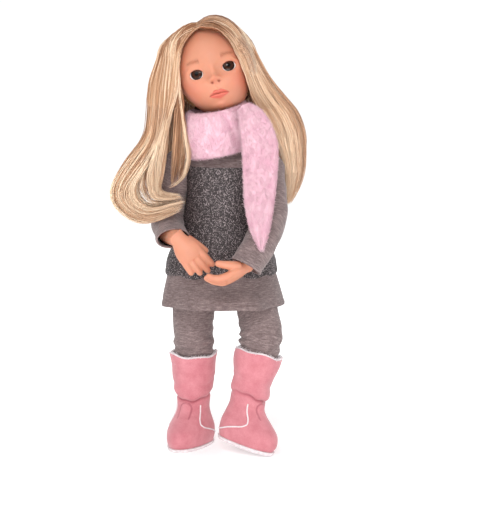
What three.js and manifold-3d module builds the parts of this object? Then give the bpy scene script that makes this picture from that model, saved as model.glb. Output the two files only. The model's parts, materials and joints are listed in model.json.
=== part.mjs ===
// A jointed vinyl play doll, about 50 cm tall, in a knitted tunic, trousers, plush scarf and boots.
// Units are millimetres. +Z is up and the doll faces -Y, so its right side is at -X.

import * as THREE from "three";
import { mergeVertices } from "three/addons/utils/BufferGeometryUtils.js";
import ManifoldModule from "manifold-3d";

// Clearances
const GAP = 0.3; // between neighbouring pieces
const BALL_GAP = 1.2; // between a limb's ball and the cup that it turns in
const CUT = 400; // size of the blocks that trim a piece along a plane

// Facets round each kind of piece
const ROUND = { limb: 12, trunk: 18, cloth: 12, boot: 14, ball: 12, peg: 8, finger: 6, skirt: 24, iris: 18 };
const HEAD_FACETS = { around: 26, rings: 17 };
const CAP_FACETS = { around: 20, rings: 12 };
const SCARF_FACETS = { around: 18, band: 8 };
const LOCK_FACETS = { wide: 12, narrow: 10 };

// Lengths between joint centres, and from the ankle down to the floor
const UPPER_ARM = 65;
const FOREARM = 67;
const THIGH = 82;
const SHIN = 85;
const ANKLE = 38;
const HIP_HEIGHT = THIGH + SHIN + ANKLE;

// Joint centres, measured from the hip line
const HIP = { x: 33.5, y: 4, z: 0 };
const SHOULDER = { x: 53, y: 2, z: 116 };
const NECK = { x: 0, y: 6, z: 185 };

// Ball radii of the limbs, and the joint parts as shares of the ball
const BALL = { neck: 14, shoulder: 15, elbow: 12, hip: 20, knee: 17 };
const PEG = { head: 0.5, rim: 0.2, stem: 0.2, wall: 0.22, eye: 0.42, tab: 0.4, pin: 0.15, pinReach: 0.88 };

// Pose in degrees. A negative swing goes forward, a negative elbow bend flexes.
const TORSO_LEAN = 0.5;
const TORSO_PITCH = 5.5;
const HEAD_TURN = 0;
const HEAD_TILT = -13.5;
const FACE_LIFT = -12.5;
const RIGHT_ARM = { side: -1, swing: -3, spread: 16, twist: 20.5, bend: -87 };
const LEFT_ARM = { side: 1, swing: -34.5, spread: -3.5, twist: -67, bend: -32.5 };
const RIGHT_HAND = { side: -1, roll: 116, bend: 68, aside: -5, curl: 5 };
const LEFT_HAND = { side: 1, roll: -105, bend: 8, aside: -29, curl: 20 };
const RIGHT_LEG = { side: -1, swing: -TORSO_PITCH, spread: -TORSO_LEAN, twist: -22, bend: 0 };
const LEFT_LEG = { side: 1, swing: -26.5, spread: -9, twist: 48, bend: 30 };

// Head
const HEAD = { half: 44, depth: 48, height: 53 };
const HEAD_CENTRE = { x: 0, y: -6, z: 44 };
const NECK_OPENING = { drop: 22, radius: 23 };
const NECK_PIN = 1.3 * BALL.neck;
const NECK_FLANGE = { radius: 11, thick: 4, drop: 18 };
const NECK_COLUMN = { stem: 8, base: 15, waist: 12.4, collar: 16, top: -6 };
const EYE = { x: 18.4, y: -32.6, z: -7, radius: 9, outward: 8, wide: 7, high: 5.6, iris: 4.9 };

// Relief of the face, measured from the middle of the head, the same on both sides
const FACE_RELIEF = {
  noseTip: { out: 6.2, x: 0, z: -19, wide: 5.2, high: 5.4 },
  noseBridge: { out: 2.2, x: 0, z: -10, wide: 4, high: 9 },
  lips: { out: 2.6, x: 0, z: -31.5, wide: 9, high: 4.4 },
  chin: { out: 4, x: 0, z: -44, wide: 11, high: 8 },
  cheeks: { out: 2.4, x: 23, z: -21, wide: 11, high: 12 },
  sockets: { out: -1.4, x: EYE.x, z: EYE.z + 4, wide: 9, high: 7 },
};

// Opening in the hair round the face, from the middle of the head: arch points x, z and its depth
const FACE_WINDOW = { half: 38, low: -80, temple: -12, peak: [-6, 43] };
const WINDOW_BENDS = { right: [-36, 24], left: [34, 30] };
const WINDOW_BACK = -14;
const WINDOW_DEPTH = 66;

// Cloth, hair and boot walls
const KNIT = 1.8;
const HAIR_CAP = 7;
const HAIR_ROOT = 1.5; // height of the cap's inner side above the scalp
const CROWN_LOW = 14; // the cap's lower edge above the neck joint
const PARTING = { x: -6, y: -20, z: 106, radius: 1.6, length: 70, facets: 6 };
const BOOT_WALL = 2.2;
const LINING = 2;
const SOLE = 4;

// Stations from the hip line up: height, half width, front, back, centre x, centre y
const TORSO = [
  [-19, 9, 12, 12, 0, 4],
  [-5, 12.5, 23, 23, 0, 2],
  [9, 29, 31, 31, 0, 1],
  [21, 46, 34, 33, 0, 0],
  [40, 45, 35, 33, 0, 0],
  [60, 39, 33, 30, 0, 0],
  [85, 36, 31, 29, 0, 0],
  [105, 37, 28, 27, 0, 1],
  [117, 40, 25, 25, 0, 2],
  [129, 37, 21, 21, 0, 3],
  [139, 23, 17, 17, 0, 5],
  [146, 17, 16, 16, 0, 6],
];

// Stations down a limb from its upper joint: height, half width, front, back
const UPPER_ARM_FORM = [
  [-3, 11.4, 11.4, 11.4],
  [-15, 13, 13, 13],
  [-35, 12.6, 12.6, 12.6],
  [10.5 - UPPER_ARM, 11.2, 11.2, 11.2],
];
const FOREARM_FORM = [
  [-2, 9.6, 9.6, 9.6],
  [-13, 9.9, 9.9, 9.9],
  [-27, 12.6, 12.8, 12.8],
  [-45, 11.6, 12, 12],
  [2 - FOREARM, 9.6, 8.6, 8.6],
  [-5 - FOREARM, 9, 7, 7],
];
const THIGH_FORM = [
  [-4, 17.6, 17.6, 17.6],
  [-20, 20.4, 20.6, 20.6],
  [-45, 20.4, 20.6, 20.6],
  [15 - THIGH, 17.5, 17.5, 17.5],
];
const SHIN_FORM = [
  [-3, 13.4, 13.4, 13.4],
  [-17, 14, 14, 14],
  [-36, 16.6, 15.6, 17.6],
  [-60, 14.6, 14, 15.4],
  [-SHIN, 12.6, 13, 13.4],
  [-SHIN - 14, 12.8, 14, 14],
];

// Stations up from the floor under the ankle: height, half width, toe, heel
const FOOT_FORM = [
  [SOLE + GAP, 17.4, 44, 15],
  [14, 19, 46, 17],
  [23, 18.2, 39, 17.4],
  [31, 16, 27, 17],
  [40, 13.8, 17, 15.4],
];
const BOOT_FORM = [
  [SOLE + GAP, 23, 52, 20.6],
  [12, 24.6, 55, 22.6],
  [22, 24.4, 52, 22.8],
  [31, 23, 42, 22.2],
  [39, 21.8, 31, 21.4],
  [47, 21.6, 25.6, 21.2],
  [66, 22.8, 24.6, 22.4],
  [88, 25.6, 26, 25],
  [106, 28, 28.4, 27],
];
const SOLE_FORM = [
  [0, 23, 52, 20.4],
  [SOLE, 24.2, 53.4, 21.6],
];
const BOOT_RIM = BOOT_FORM[BOOT_FORM.length - 1];
const LINING_FORM = [
  ...BOOT_FORM.slice(-3),
  [BOOT_RIM[0] + 3, BOOT_RIM[1], BOOT_RIM[2], BOOT_RIM[3]],
];

// Clothes round the torso, in stations like those of the torso
const YOKE_FORM = [
  [121.5, 44, 30, 30, 0, 1],
  [130, 40.5, 25.5, 26, 0, 2],
  [137, 29, 21.5, 22, 0, 4],
  [142, 22.5, 19.5, 20, 0, 5],
];
const BODICE_FORM = [
  [-1, 62.5, 45, 39.5, -1, 0],
  [14, 62, 44, 39.5, -1, 0],
  [40, 52.5, 41, 38, 0, 0],
  [70, 43.5, 36.5, 33.5, 0, 0],
  [100, 41.5, 33, 31.5, 0, 0],
  [121, 44, 30, 30, 0, 1],
];
const SKIRT_FORM = [
  [-39, 71, 69, 41, 0, -2],
  [-28, 68.8, 64.5, 41, 0, -2],
  [-12, 65.2, 53.4, 40.4, 0, -1],
  [-1.4, 63, 45.6, 40, -1, 0],
];
const SEAT_FORM = [
  [-11, 59.2, 40.8, 36, 0, 0],
  [4, 58.4, 40.4, 36.8, 0, 0],
  [22, 52.4, 37.8, 36.4, 0, 0],
  [45, 47, 37, 35, 0, 0],
];
const SLEEVE_TOP_FORM = [
  [19.4, 5, 5, 5],
  [17, 11, 11, 11],
  [9, 16.6, 16.6, 16.6],
  [-8, 18, 18, 18],
  [-40, 17.2, 17.2, 17.2],
  [-UPPER_ARM - 24, 17, 17, 17],
];
const SLEEVE_END_FORM = [
  [24, 17, 17, 17],
  [-20, 17, 17, 17],
  [-42, 17.6, 17.6, 17.6],
  [-60, 20.4, 19.4, 19.4],
];
const TROUSER_TOP_FORM = [
  [6, 24.8, 24.8, 24.8],
  [-30, 24.6, 24.6, 24.6],
  [-60, 23.6, 23.6, 23.6],
  [-THIGH - 16, 22.4, 22.4, 22.4],
];
const TROUSER_END_FORM = [
  [16, 22.4, 22.4, 22.4],
  [-10, 22.2, 22.2, 21.2],
  [-22, 20.8, 20.8, 20.8],
  [-38, 18.6, 18.6, 19.6],
];

// Folds that deepen towards the hem of the skirt
const SKIRT_FOLDS = { count: 7, depth: 1.2, turn: 0.6 };

// Scarf: a loop of plush round the neck, and the hanging tail as x, y, z, half width, half thickness
const SCARF = { x: -5, y: 2, z: 163, half: 30, depth: 37, high: 25, thick: 6, flare: 5, rise: 6, sag: 5 };
const TAIL = [
  [22, -40, 190, 7, 4.5],
  [32, -49, 176, 15, 6],
  [40, -53, 150, 19, 6.5],
  [42, -55, 115, 18.5, 6.5],
  [41, -63, 85, 17, 6],
  [42, -73, 55, 12, 5],
  [43, -79, 28, 2.5, 2],
];

// Hair that hangs from the head, in a level frame at the neck joint: x, y, z, half width, half thickness
const RIGHT_LOCK = [
  [-52, 2, 76, 11, 8],
  [-60, -4, 48, 17, 10],
  [-63, -12, 8, 21, 11],
  [-64, -26, -30, 23, 12],
  [-76, -40, -64, 36, 13],
  [-83, -45, -94, 42, 13],
  [-82, -47, -114, 33, 12],
  [-77, -48, -129, 13, 8],
];
const LEFT_LOCK = [
  [24, 4, 76, 11, 7],
  [36, 3, 48, 15, 9],
  [54, 4, 14, 20, 10],
  [66, 8, -10, 22, 10],
  [73, 12, -38, 22, 10],
  [77, 15, -72, 17, 9],
  [77, 16, -92, 11, 8],
  [77, 17, -107, 4, 5],
];
const BACK_LOCK = [
  [-10, 50, 45, 30, 6],
  [-8, 51, 10, 44, 7],
  [-4, 45, -30, 50, 8],
  [0, 44, -80, 52, 8],
  [0, 43, -125, 44, 6],
  [0, 43, -140, 30, 4],
];

const SKIN = material(0xe2a080, 0.45);
const NYLON = material(0xd8d2c8, 0.4);
const EYE_WHITE = material(0xf4f0ec, 0.2);
const EYE_BROWN = material(0x3a2012, 0.15);
const HAIR = material(0xcdae80, 0.6);
const JERSEY = material(0x8c8484, 0.9);
const GLITTER = material(0x453c40, 0.6);
const PLUSH = material(0xf0c6d8, 0.95);
const SUEDE = material(0xe89aa4, 0.9);
const WHITE_PLUSH = material(0xf2e8ea, 0.95);
const RUBBER = material(0xeee4e6, 0.7);

const wasm = await ManifoldModule();
wasm.setup();

function material(color, roughness) {
  return new THREE.MeshStandardMaterial({ color, roughness });
}

function vec(x, y, z) {
  return new THREE.Vector3(x, y, z);
}

// Closed solids are joined and cut here. Every shape is a three.js geometry before and after.
function toSolid(geometry) {
  const bare = new THREE.BufferGeometry();
  bare.setAttribute("position", geometry.getAttribute("position").clone());
  bare.setIndex(geometry.getIndex() ? geometry.getIndex().clone() : null);
  const merged = mergeVertices(bare, 1e-5);
  const mesh = new wasm.Mesh({
    numProp: 3,
    vertProperties: new Float32Array(merged.getAttribute("position").array),
    triVerts: new Uint32Array(merged.getIndex().array),
  });
  return new wasm.Manifold(mesh);
}

function fromSolid(solid) {
  const mesh = solid.getMesh();
  const geometry = new THREE.BufferGeometry();
  geometry.setAttribute("position", new THREE.BufferAttribute(mesh.vertProperties, 3));
  geometry.setIndex(new THREE.BufferAttribute(mesh.triVerts, 1));
  return geometry;
}

function join(...shapes) {
  return fromSolid(shapes.map(toSolid).reduce((whole, shape) => whole.add(shape)));
}

function cut(shape, ...tools) {
  return fromSolid(tools.map(toSolid).reduce((rest, tool) => rest.subtract(tool), toSolid(shape)));
}

// The largest body that a cut leaves, without the loose slivers beside it.
function largest(shape) {
  const bodies = toSolid(shape).decompose();
  const biggest = bodies.reduce((best, body) => (body.volume() > best.volume() ? body : best));
  return fromSolid(biggest);
}

// A closed surface through rings of points, capped at both ends or closed into a loop.
function loft(rings, loop = false) {
  const sides = rings[0].length;
  const points = rings.flat();
  const faces = [];
  const spans = loop ? rings.length : rings.length - 1;
  for (let r = 0; r < spans; r++) {
    for (let s = 0; s < sides; s++) {
      const next = (s + 1) % sides;
      const here = r * sides;
      const there = ((r + 1) % rings.length) * sides;
      faces.push(here + s, here + next, there + next, here + s, there + next, there + s);
    }
  }
  if (!loop) {
    const end = (rings.length - 1) * sides;
    const caps = points.length;
    points.push(middle(rings[0]), middle(rings[rings.length - 1]));
    for (let s = 0; s < sides; s++) {
      const next = (s + 1) % sides;
      faces.push(caps, next, s, caps + 1, end + s, end + next);
    }
  }
  const geometry = new THREE.BufferGeometry().setFromPoints(points);
  geometry.setIndex(faces);
  return facingOut(geometry);
}

function middle(ring) {
  return ring.reduce((sum, p) => sum.add(p), vec(0, 0, 0)).divideScalar(ring.length);
}

function facingOut(geometry) {
  const p = geometry.getAttribute("position");
  const index = geometry.getIndex().array;
  const [a, b, c] = [vec(), vec(), vec()];
  let volume = 0;
  for (let i = 0; i < index.length; i += 3) {
    a.fromBufferAttribute(p, index[i]);
    b.fromBufferAttribute(p, index[i + 1]);
    c.fromBufferAttribute(p, index[i + 2]);
    volume += a.dot(b.cross(c));
  }
  if (volume < 0) {
    geometry.setIndex(Array.from(index).reverse());
  }
  return geometry;
}

// Values between stations follow one smooth curve through them.
function between(stations) {
  const size = stations[0].length;
  const curve = new THREE.CubicInterpolant(
    stations.map((_, i) => i),
    stations.flat(),
    size,
    new Float32Array(size),
  );
  return (share) => Array.from(curve.evaluate(share * (stations.length - 1)));
}

// Rings across upright stations. `grow` widens every ring and `ripple` adds cloth folds by angle.
function ringsOf(form, { sides = ROUND.limb, steps = 4, grow = 0, longer = 0, ripple = () => 0 } = {}) {
  const at = between(form);
  const up = Math.sign(form[form.length - 1][0] - form[0][0]);
  const rings = [];
  for (let i = 0; i <= steps; i++) {
    const share = i / steps;
    const [height, half, front, back, x = 0, y = 0] = at(share);
    const end = (i === steps ? longer : 0) - (i === 0 ? longer : 0);
    const ring = [];
    for (let s = 0; s < sides; s++) {
      const angle = (2 * Math.PI * s) / sides;
      const wider = grow + ripple(angle, share);
      const depth = Math.sin(angle) < 0 ? front : back;
      const px = x + (half + wider) * Math.cos(angle);
      const py = y + (depth + wider) * Math.sin(angle);
      ring.push(vec(px, py, height + up * end));
    }
    rings.push(ring);
  }
  return rings;
}

function body(form, options) {
  return loft(ringsOf(form, options));
}

// A cloth tube, open at both ends.
function tube(form, wall, options = {}) {
  const outer = ringsOf(form, options);
  const inner = ringsOf(form, { ...options, grow: (options.grow || 0) - wall });
  return loft([...outer, ...inner.reverse()], true);
}

// A form swept along a path of x, y, z, half width and half thickness; its flat side faces `face`.
function sweep(knots, face, { sides = 12, steps = 12, grow = 0 } = {}) {
  const at = between(knots);
  const spot = (share) => vec(...at(THREE.MathUtils.clamp(share, 0, 1)).slice(0, 3));
  const rings = [];
  for (let i = 0; i <= steps; i++) {
    const share = i / steps;
    const [x, y, z, wide, thick] = at(share);
    const along = spot(share + 0.01).sub(spot(share - 0.01)).normalize();
    const across = along.clone().cross(face).normalize();
    const out = across.clone().cross(along);
    const ring = [];
    for (let s = 0; s < sides; s++) {
      const angle = (2 * Math.PI * s) / sides;
      const point = vec(x, y, z);
      point.addScaledVector(across, (wide + grow) * Math.cos(angle));
      point.addScaledVector(out, (thick + grow) * Math.sin(angle));
      ring.push(point);
    }
    rings.push(ring);
  }
  return loft(rings);
}

function ball(radius, sides = ROUND.ball) {
  return new THREE.SphereGeometry(radius, sides, Math.round(sides * 0.6));
}

// A round bar along Z.
function bar(radius, from, to, sides = ROUND.peg, endRadius = radius) {
  const rod = new THREE.CylinderGeometry(endRadius, radius, to - from, sides);
  return rod.rotateX(Math.PI / 2).translate(0, 0, (from + to) / 2);
}

// A round way with room for a bar of this radius to turn in.
function way(radius, from, to) {
  return bar((radius + GAP) / Math.cos(Math.PI / ROUND.peg), from, to);
}

function barAlongX(radius, reach, sides = ROUND.peg) {
  return bar(radius, -reach, reach, sides).rotateY(Math.PI / 2);
}

function block(x, y, z, cx = 0, cy = 0, cz = 0) {
  return new THREE.BoxGeometry(x, y, z).translate(cx, cy, cz);
}

// A swivel-hinge joint lies round the ball's centre: the peg goes up +Z into the parent, the pin lies
// along X through the held limb.
function wayAlongX(radius, reach) {
  return way(radius, -reach, reach).rotateY(Math.PI / 2);
}

function pegSizes(radius) {
  const sizes = Object.fromEntries(Object.entries(PEG).map(([name, share]) => [name, share * radius]));
  sizes.shoulder = radius + BALL_GAP + sizes.wall;
  return sizes;
}

function peg(radius) {
  const p = pegSizes(radius);
  const eye = barAlongX(p.eye, p.tab / 2);
  const stem = bar(p.stem, 0, p.shoulder + p.rim / 2);
  const head = bar(p.head, p.shoulder, p.shoulder + p.rim);
  return cut(join(eye, stem, head), wayAlongX(p.pin, p.tab));
}

function pin(radius) {
  const p = pegSizes(radius);
  return barAlongX(p.pin, p.pinReach);
}

// What the parent loses: the cup for the ball, the way for the stem and the room for the peg's head.
function socket(radius) {
  const p = pegSizes(radius);
  const cup = ball(radius + BALL_GAP);
  const shaft = way(p.stem, 0, p.shoulder);
  const room = way(p.head, p.shoulder - GAP, p.shoulder + p.rim + GAP);
  return join(cup, shaft, room);
}

// What the held limb loses: the slot for the eye and the hole for the pin.
function clevis(radius) {
  const p = pegSizes(radius);
  const low = -p.eye - 2 * GAP;
  const high = radius + 1;
  const slot = block(p.tab + 2 * GAP, 2 * radius + 2, high - low, 0, 0, (low + high) / 2);
  return join(slot, wayAlongX(p.pin, radius + 1));
}

// The same joint turned so that the peg goes sideways into the torso and the pin lies fore and aft.
function sideways(geometry, side) {
  const turn = new THREE.Matrix4().makeBasis(vec(0, side, 0), vec(0, 0, -1), vec(-side, 0, 0));
  return geometry.applyMatrix4(turn);
}

// The block on one side of a plane across a bent limb, halfway between its two parts.
function mitre(twist, bend, beyond) {
  const shift = beyond * (CUT / 2 - GAP / 2);
  const half = block(CUT, CUT, CUT, 0, 0, -shift);
  return half.rotateX(THREE.MathUtils.degToRad(bend / 2)).rotateZ(THREE.MathUtils.degToRad(twist));
}

// The frames of the pose: each joint is a group inside the one before it.
const doll = new THREE.Group();
doll.name = "doll";

function frame(parent, name, spot, turn = {}) {
  const group = new THREE.Group();
  group.name = name;
  group.position.set(spot.x || 0, spot.y || 0, spot.z || 0);
  const { x = 0, y = 0, z = 0 } = turn;
  group.rotation.set(...[x, y, z].map(THREE.MathUtils.degToRad));
  parent.add(group);
  return group;
}

function limb(parent, sideName, names, start, length, pose) {
  const swivel = frame(parent, `${sideName}_${names[0]}_swivel`, start, { x: pose.swing });
  const upper = frame(swivel, `${sideName}_${names[1]}_frame`, {}, { y: pose.spread });
  const knee = frame(upper, `${sideName}_${names[2]}_swivel`, { z: -length }, { z: pose.twist });
  const lower = frame(knee, `${sideName}_${names[3]}_frame`, {}, { x: pose.bend });
  return { swivel, upper, knee, lower };
}

const torsoFrame = frame(doll, "torso_frame", { z: HIP_HEIGHT }, { x: TORSO_PITCH, y: TORSO_LEAN });
const neckFrame = frame(torsoFrame, "neck_swivel", NECK, { z: HEAD_TURN });
const headTilt = frame(neckFrame, "head_frame", {}, { y: HEAD_TILT });
const headFrame = frame(headTilt, "face_frame", {}, { x: FACE_LIFT });
const hangFrame = frame(torsoFrame, "hair_hang", NECK);

const ARM_NAMES = ["shoulder", "upper_arm", "elbow", "forearm"];
const LEG_NAMES = ["hip", "thigh", "knee", "shin"];
const arms = {};
const legs = {};
for (const [name, arm, leg] of [["right", RIGHT_ARM, RIGHT_LEG], ["left", LEFT_ARM, LEFT_LEG]]) {
  const shoulder = { ...SHOULDER, x: arm.side * SHOULDER.x };
  const hip = { ...HIP, x: leg.side * HIP.x };
  arms[name] = { ...limb(torsoFrame, name, ARM_NAMES, shoulder, UPPER_ARM, arm), pose: arm };
  legs[name] = { ...limb(torsoFrame, name, LEG_NAMES, hip, THIGH, leg), pose: leg };
}
doll.updateMatrixWorld(true);

function add(group, name, geometry, look) {
  const bare = toSolid(geometry);
  const mesh = new THREE.Mesh(fromSolid(bare), look);
  mesh.name = name;
  group.add(mesh);
  return mesh;
}

// A shape made in one frame, seen from another.
function seenFrom(group, geometry, from) {
  const moved = geometry.clone().applyMatrix4(from.matrixWorld);
  return moved.applyMatrix4(group.matrixWorld.clone().invert());
}

// Torso
function torsoShape(grow = 0) {
  return body(TORSO, { sides: ROUND.trunk, steps: 12, grow, longer: grow });
}

function sideJoint(tool, spot, side) {
  return sideways(tool, side).translate(side * spot.x, spot.y, spot.z);
}

function torso() {
  const { radius, thick, drop } = NECK_FLANGE;
  const top = TORSO[TORSO.length - 1][0];
  const flangeLow = top - drop;
  const neckWay = way(NECK_COLUMN.stem, flangeLow, top + thick);
  const neckRoom = way(radius, flangeLow - GAP, flangeLow + thick + GAP);
  const neckSocket = join(neckWay, neckRoom).translate(NECK.x, NECK.y, 0);
  const tools = [neckSocket];
  for (const side of [-1, 1]) {
    tools.push(sideJoint(socket(BALL.shoulder), SHOULDER, side));
    tools.push(sideJoint(socket(BALL.hip), HIP, side));
  }
  return cut(torsoShape(), ...tools);
}
add(torsoFrame, "torso", torso(), SKIN);

// Neck: its flange turns in the torso and its ball carries the head
function neck() {
  const { radius, thick, drop } = NECK_FLANGE;
  const { stem, base, waist, collar, top: ballSeat } = NECK_COLUMN;
  const top = TORSO[TORSO.length - 1][0] - NECK.z;
  const flangeLow = top - drop;
  const profile = [
    [0, flangeLow],
    [radius, flangeLow],
    [radius, flangeLow + thick],
    [stem, flangeLow + thick],
    [stem, top + GAP],
    [base, top + GAP],
    [waist, top + collar],
    [waist, ballSeat],
    [0, ballSeat],
  ].map(([r, z]) => new THREE.Vector2(r, z));
  const column = new THREE.LatheGeometry(profile, ROUND.ball).rotateX(Math.PI / 2);
  const p = pegSizes(BALL.neck);
  const bore = way(p.pin, -BALL.neck - 1, BALL.neck + 1).rotateX(Math.PI / 2);
  return cut(join(facingOut(column), ball(BALL.neck)), bore);
}
add(neckFrame, "neck", neck(), SKIN);

// Head: an egg with a child's relief on its front
function bump(across, z, form) {
  const aside = (across - form.x) / form.wide;
  const above = (z - form.z) / form.high;
  return form.out * Math.exp(-aside * aside - above * above);
}

function relief(x, z) {
  return Object.values(FACE_RELIEF).reduce((sum, form) => sum + bump(Math.abs(x), z, form), 0);
}

function headShape(grow = 0, { around, rings: down } = HEAD_FACETS) {
  const rings = [];
  for (let i = 1; i < down; i++) {
    const fall = (Math.PI * i) / down;
    const ring = [];
    for (let s = 0; s < around; s++) {
      const turn = (2 * Math.PI * s) / around;
      const round = turn - 0.3 * Math.cos(turn);
      ring.push(headPoint(round, fall, grow));
    }
    rings.push(ring);
  }
  return loft(rings);
}

function headPoint(round, fall, grow) {
  const low = Math.max(0, -Math.cos(fall));
  const level = Math.sin(fall);
  const jaw = 1 - 0.2 * low * low;
  const x = (HEAD.half + grow) * level * Math.cos(round) * jaw;
  const z = (HEAD.height + grow) * Math.cos(fall);
  const front = -Math.sin(round) * level;
  const weight = THREE.MathUtils.smoothstep(front, 0.1, 0.55);
  const y = -(HEAD.depth + grow) * front - weight * relief(x, z);
  return vec(x, y, z);
}

function atEye(geometry, side) {
  const turned = geometry.rotateZ(THREE.MathUtils.degToRad(side * EYE.outward));
  return turned.translate(side * EYE.x, EYE.y, EYE.z);
}

function head() {
  const p = pegSizes(BALL.neck);
  const cup = ball(BALL.neck + BALL_GAP);
  const opening = bar(NECK_OPENING.radius, -NECK_OPENING.drop, 0, ROUND.ball, BALL.neck + BALL_GAP);
  const pinHole = way(p.pin, -NECK_PIN - GAP, NECK_PIN + GAP).rotateX(Math.PI / 2);
  pinHole.rotateX(THREE.MathUtils.degToRad(-FACE_LIFT));
  const place = [HEAD_CENTRE.x, HEAD_CENTRE.y, HEAD_CENTRE.z];
  const tools = [cup, opening, pinHole].map((tool) => tool.translate(...place.map((v) => -v)));
  for (const side of [-1, 1]) {
    const lids = bar(1, 0, 2 * EYE.radius, 12).scale(EYE.wide, EYE.high, 1).rotateX(Math.PI / 2);
    tools.push(atEye(ball(EYE.radius + GAP), side), atEye(lids, side));
  }
  return cut(headShape(), ...tools).translate(...place);
}

add(headFrame, "head", head(), SKIN);
const neckPin = bar(pegSizes(BALL.neck).pin, -NECK_PIN, NECK_PIN).rotateX(Math.PI / 2);
add(headTilt, "neck_pin", neckPin, NYLON);

// Eyes: a white ball with a flat seat, and a domed iris on it
const SEAT = Math.sqrt(EYE.radius ** 2 - EYE.iris ** 2);

function eyeWhite() {
  const front = block(CUT, CUT, CUT, 0, -(CUT / 2 + SEAT - GAP), 0);
  return cut(ball(EYE.radius), front);
}

function iris() {
  const behind = block(CUT, CUT, CUT, 0, CUT / 2 - SEAT, 0);
  return cut(ball(EYE.radius, ROUND.iris).rotateX(Math.PI / 2), behind);
}

for (const [name, side] of [["right", -1], ["left", 1]]) {
  const centre = [HEAD_CENTRE.x, HEAD_CENTRE.y, HEAD_CENTRE.z];
  add(headFrame, `eye_${name}`, atEye(eyeWhite(), side).translate(...centre), EYE_WHITE);
  add(headFrame, `iris_${name}`, atEye(iris(), side).translate(...centre), EYE_BROWN);
}

// Arms
function handPlace(geometry, hand) {
  geometry.rotateY(THREE.MathUtils.degToRad(hand.aside));
  geometry.rotateX(THREE.MathUtils.degToRad(-hand.bend));
  geometry.rotateZ(THREE.MathUtils.degToRad(hand.roll));
  return geometry.translate(0, 0, -FOREARM);
}

const PALM_FORM = [
  [5, 9, 7, 7],
  [-4, 9.6, 6.8, 7],
  [-14, 13.4, 6.4, 7],
  [-24, 14.6, 5.8, 6],
  [-30, 13.6, 4.2, 4.4],
];
const FINGER = { radius: 4.3, tip: 3.3, root: 4, end: 2.5 };
// The three parts of a finger: share of its length, share of its curl
const FINGER_PARTS = [
  [0.42, 0.6],
  [0.3, 1.6],
  [0.22, 2.4],
];
const KNUCKLES = -24;
const THUMB = { x: 8, y: -2, z: -8, length: 27, splay: 38, curl: 14, radius: 5, tip: 3.6 };
// Each finger: place across the knuckles from the thumb side, length, splay in degrees
const FINGERS = [
  [10.4, 22, 9],
  [3.6, 24.5, 2],
  [-3.4, 23, -5],
  [-9.8, 18.5, -13],
];

// A finger bends towards the palm, -Y, by `curl` at each of its joints.
function finger(start, length, splay, curl, radius, tip) {
  const knots = [[start.x, start.y, start.z, radius, radius]];
  const widths = [radius, (radius + tip) / 2, tip];
  const aside = THREE.MathUtils.degToRad(splay);
  const spot = start.clone();
  const step = vec(0, 0, 0);
  FINGER_PARTS.forEach(([share, bend], part) => {
    const lean = THREE.MathUtils.degToRad(curl * bend);
    step.set(Math.sin(aside) * Math.cos(lean), -Math.sin(lean), -Math.cos(aside) * Math.cos(lean));
    spot.addScaledVector(step, length * share);
    knots.push([spot.x, spot.y, spot.z, widths[part], widths[part]]);
  });
  spot.addScaledVector(step, FINGER.end);
  knots.push([spot.x, spot.y, spot.z, tip / 2, tip / 2]);
  return sweep(knots, vec(0.05, -1, 0.1), { sides: ROUND.finger, steps: 4 });
}

function handShape(hand) {
  const thumbSide = hand.side;
  const parts = [body(PALM_FORM)];
  for (const [across, length, splay] of FINGERS) {
    const start = vec(thumbSide * across, 0, KNUCKLES);
    parts.push(finger(start, length + FINGER.root, thumbSide * splay, hand.curl, FINGER.radius, FINGER.tip));
  }
  const thumbStart = vec(thumbSide * THUMB.x, THUMB.y, THUMB.z);
  const { length, splay, curl, radius, tip } = THUMB;
  parts.push(finger(thumbStart, length, thumbSide * splay, curl, radius, tip));
  return handPlace(join(...parts), hand);
}

function upperArm() {
  return join(ball(BALL.shoulder), body(UPPER_ARM_FORM));
}

function buildArm(name, arm, hand) {
  const { pose } = arm;
  const shoulderPeg = sideways(peg(BALL.shoulder), pose.side);
  const shoulderPin = sideways(pin(BALL.shoulder), pose.side);
  add(arm.swivel, `shoulder_peg_${name}`, shoulderPeg, NYLON);
  add(arm.upper, `shoulder_pin_${name}`, shoulderPin, NYLON);
  const elbowSocket = socket(BALL.elbow).translate(0, 0, -UPPER_ARM);
  const upper = cut(upperArm(), sideways(clevis(BALL.shoulder), pose.side), elbowSocket);
  add(arm.upper, `upper_arm_${name}`, upper, SKIN);
  add(arm.knee, `elbow_peg_${name}`, peg(BALL.elbow), NYLON);
  add(arm.lower, `elbow_pin_${name}`, pin(BALL.elbow), NYLON);
  const lower = join(ball(BALL.elbow), body(FOREARM_FORM, { steps: 6 }), handShape(hand));
  add(arm.lower, `forearm_${name}`, cut(lower, clevis(BALL.elbow)), SKIN);
}
buildArm("right", arms.right, RIGHT_HAND);
buildArm("left", arms.left, LEFT_HAND);

// Legs
const FLOOR = -SHIN - ANKLE;

function buildLeg(name, leg) {
  const { pose } = leg;
  add(leg.swivel, `hip_peg_${name}`, sideways(peg(BALL.hip), pose.side), NYLON);
  add(leg.upper, `hip_pin_${name}`, sideways(pin(BALL.hip), pose.side), NYLON);
  const thigh = join(ball(BALL.hip), body(THIGH_FORM));
  const kneeSocket = socket(BALL.knee).translate(0, 0, -THIGH);
  add(leg.upper, `thigh_${name}`, cut(thigh, sideways(clevis(BALL.hip), pose.side), kneeSocket), SKIN);
  add(leg.knee, `knee_peg_${name}`, peg(BALL.knee), NYLON);
  add(leg.lower, `knee_pin_${name}`, pin(BALL.knee), NYLON);
  const foot = body(FOOT_FORM).translate(0, 0, FLOOR);
  const shin = join(ball(BALL.knee), body(SHIN_FORM), foot);
  add(leg.lower, `shin_${name}`, cut(shin, clevis(BALL.knee)), SKIN);
}
buildLeg("right", legs.right);
buildLeg("left", legs.left);

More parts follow.
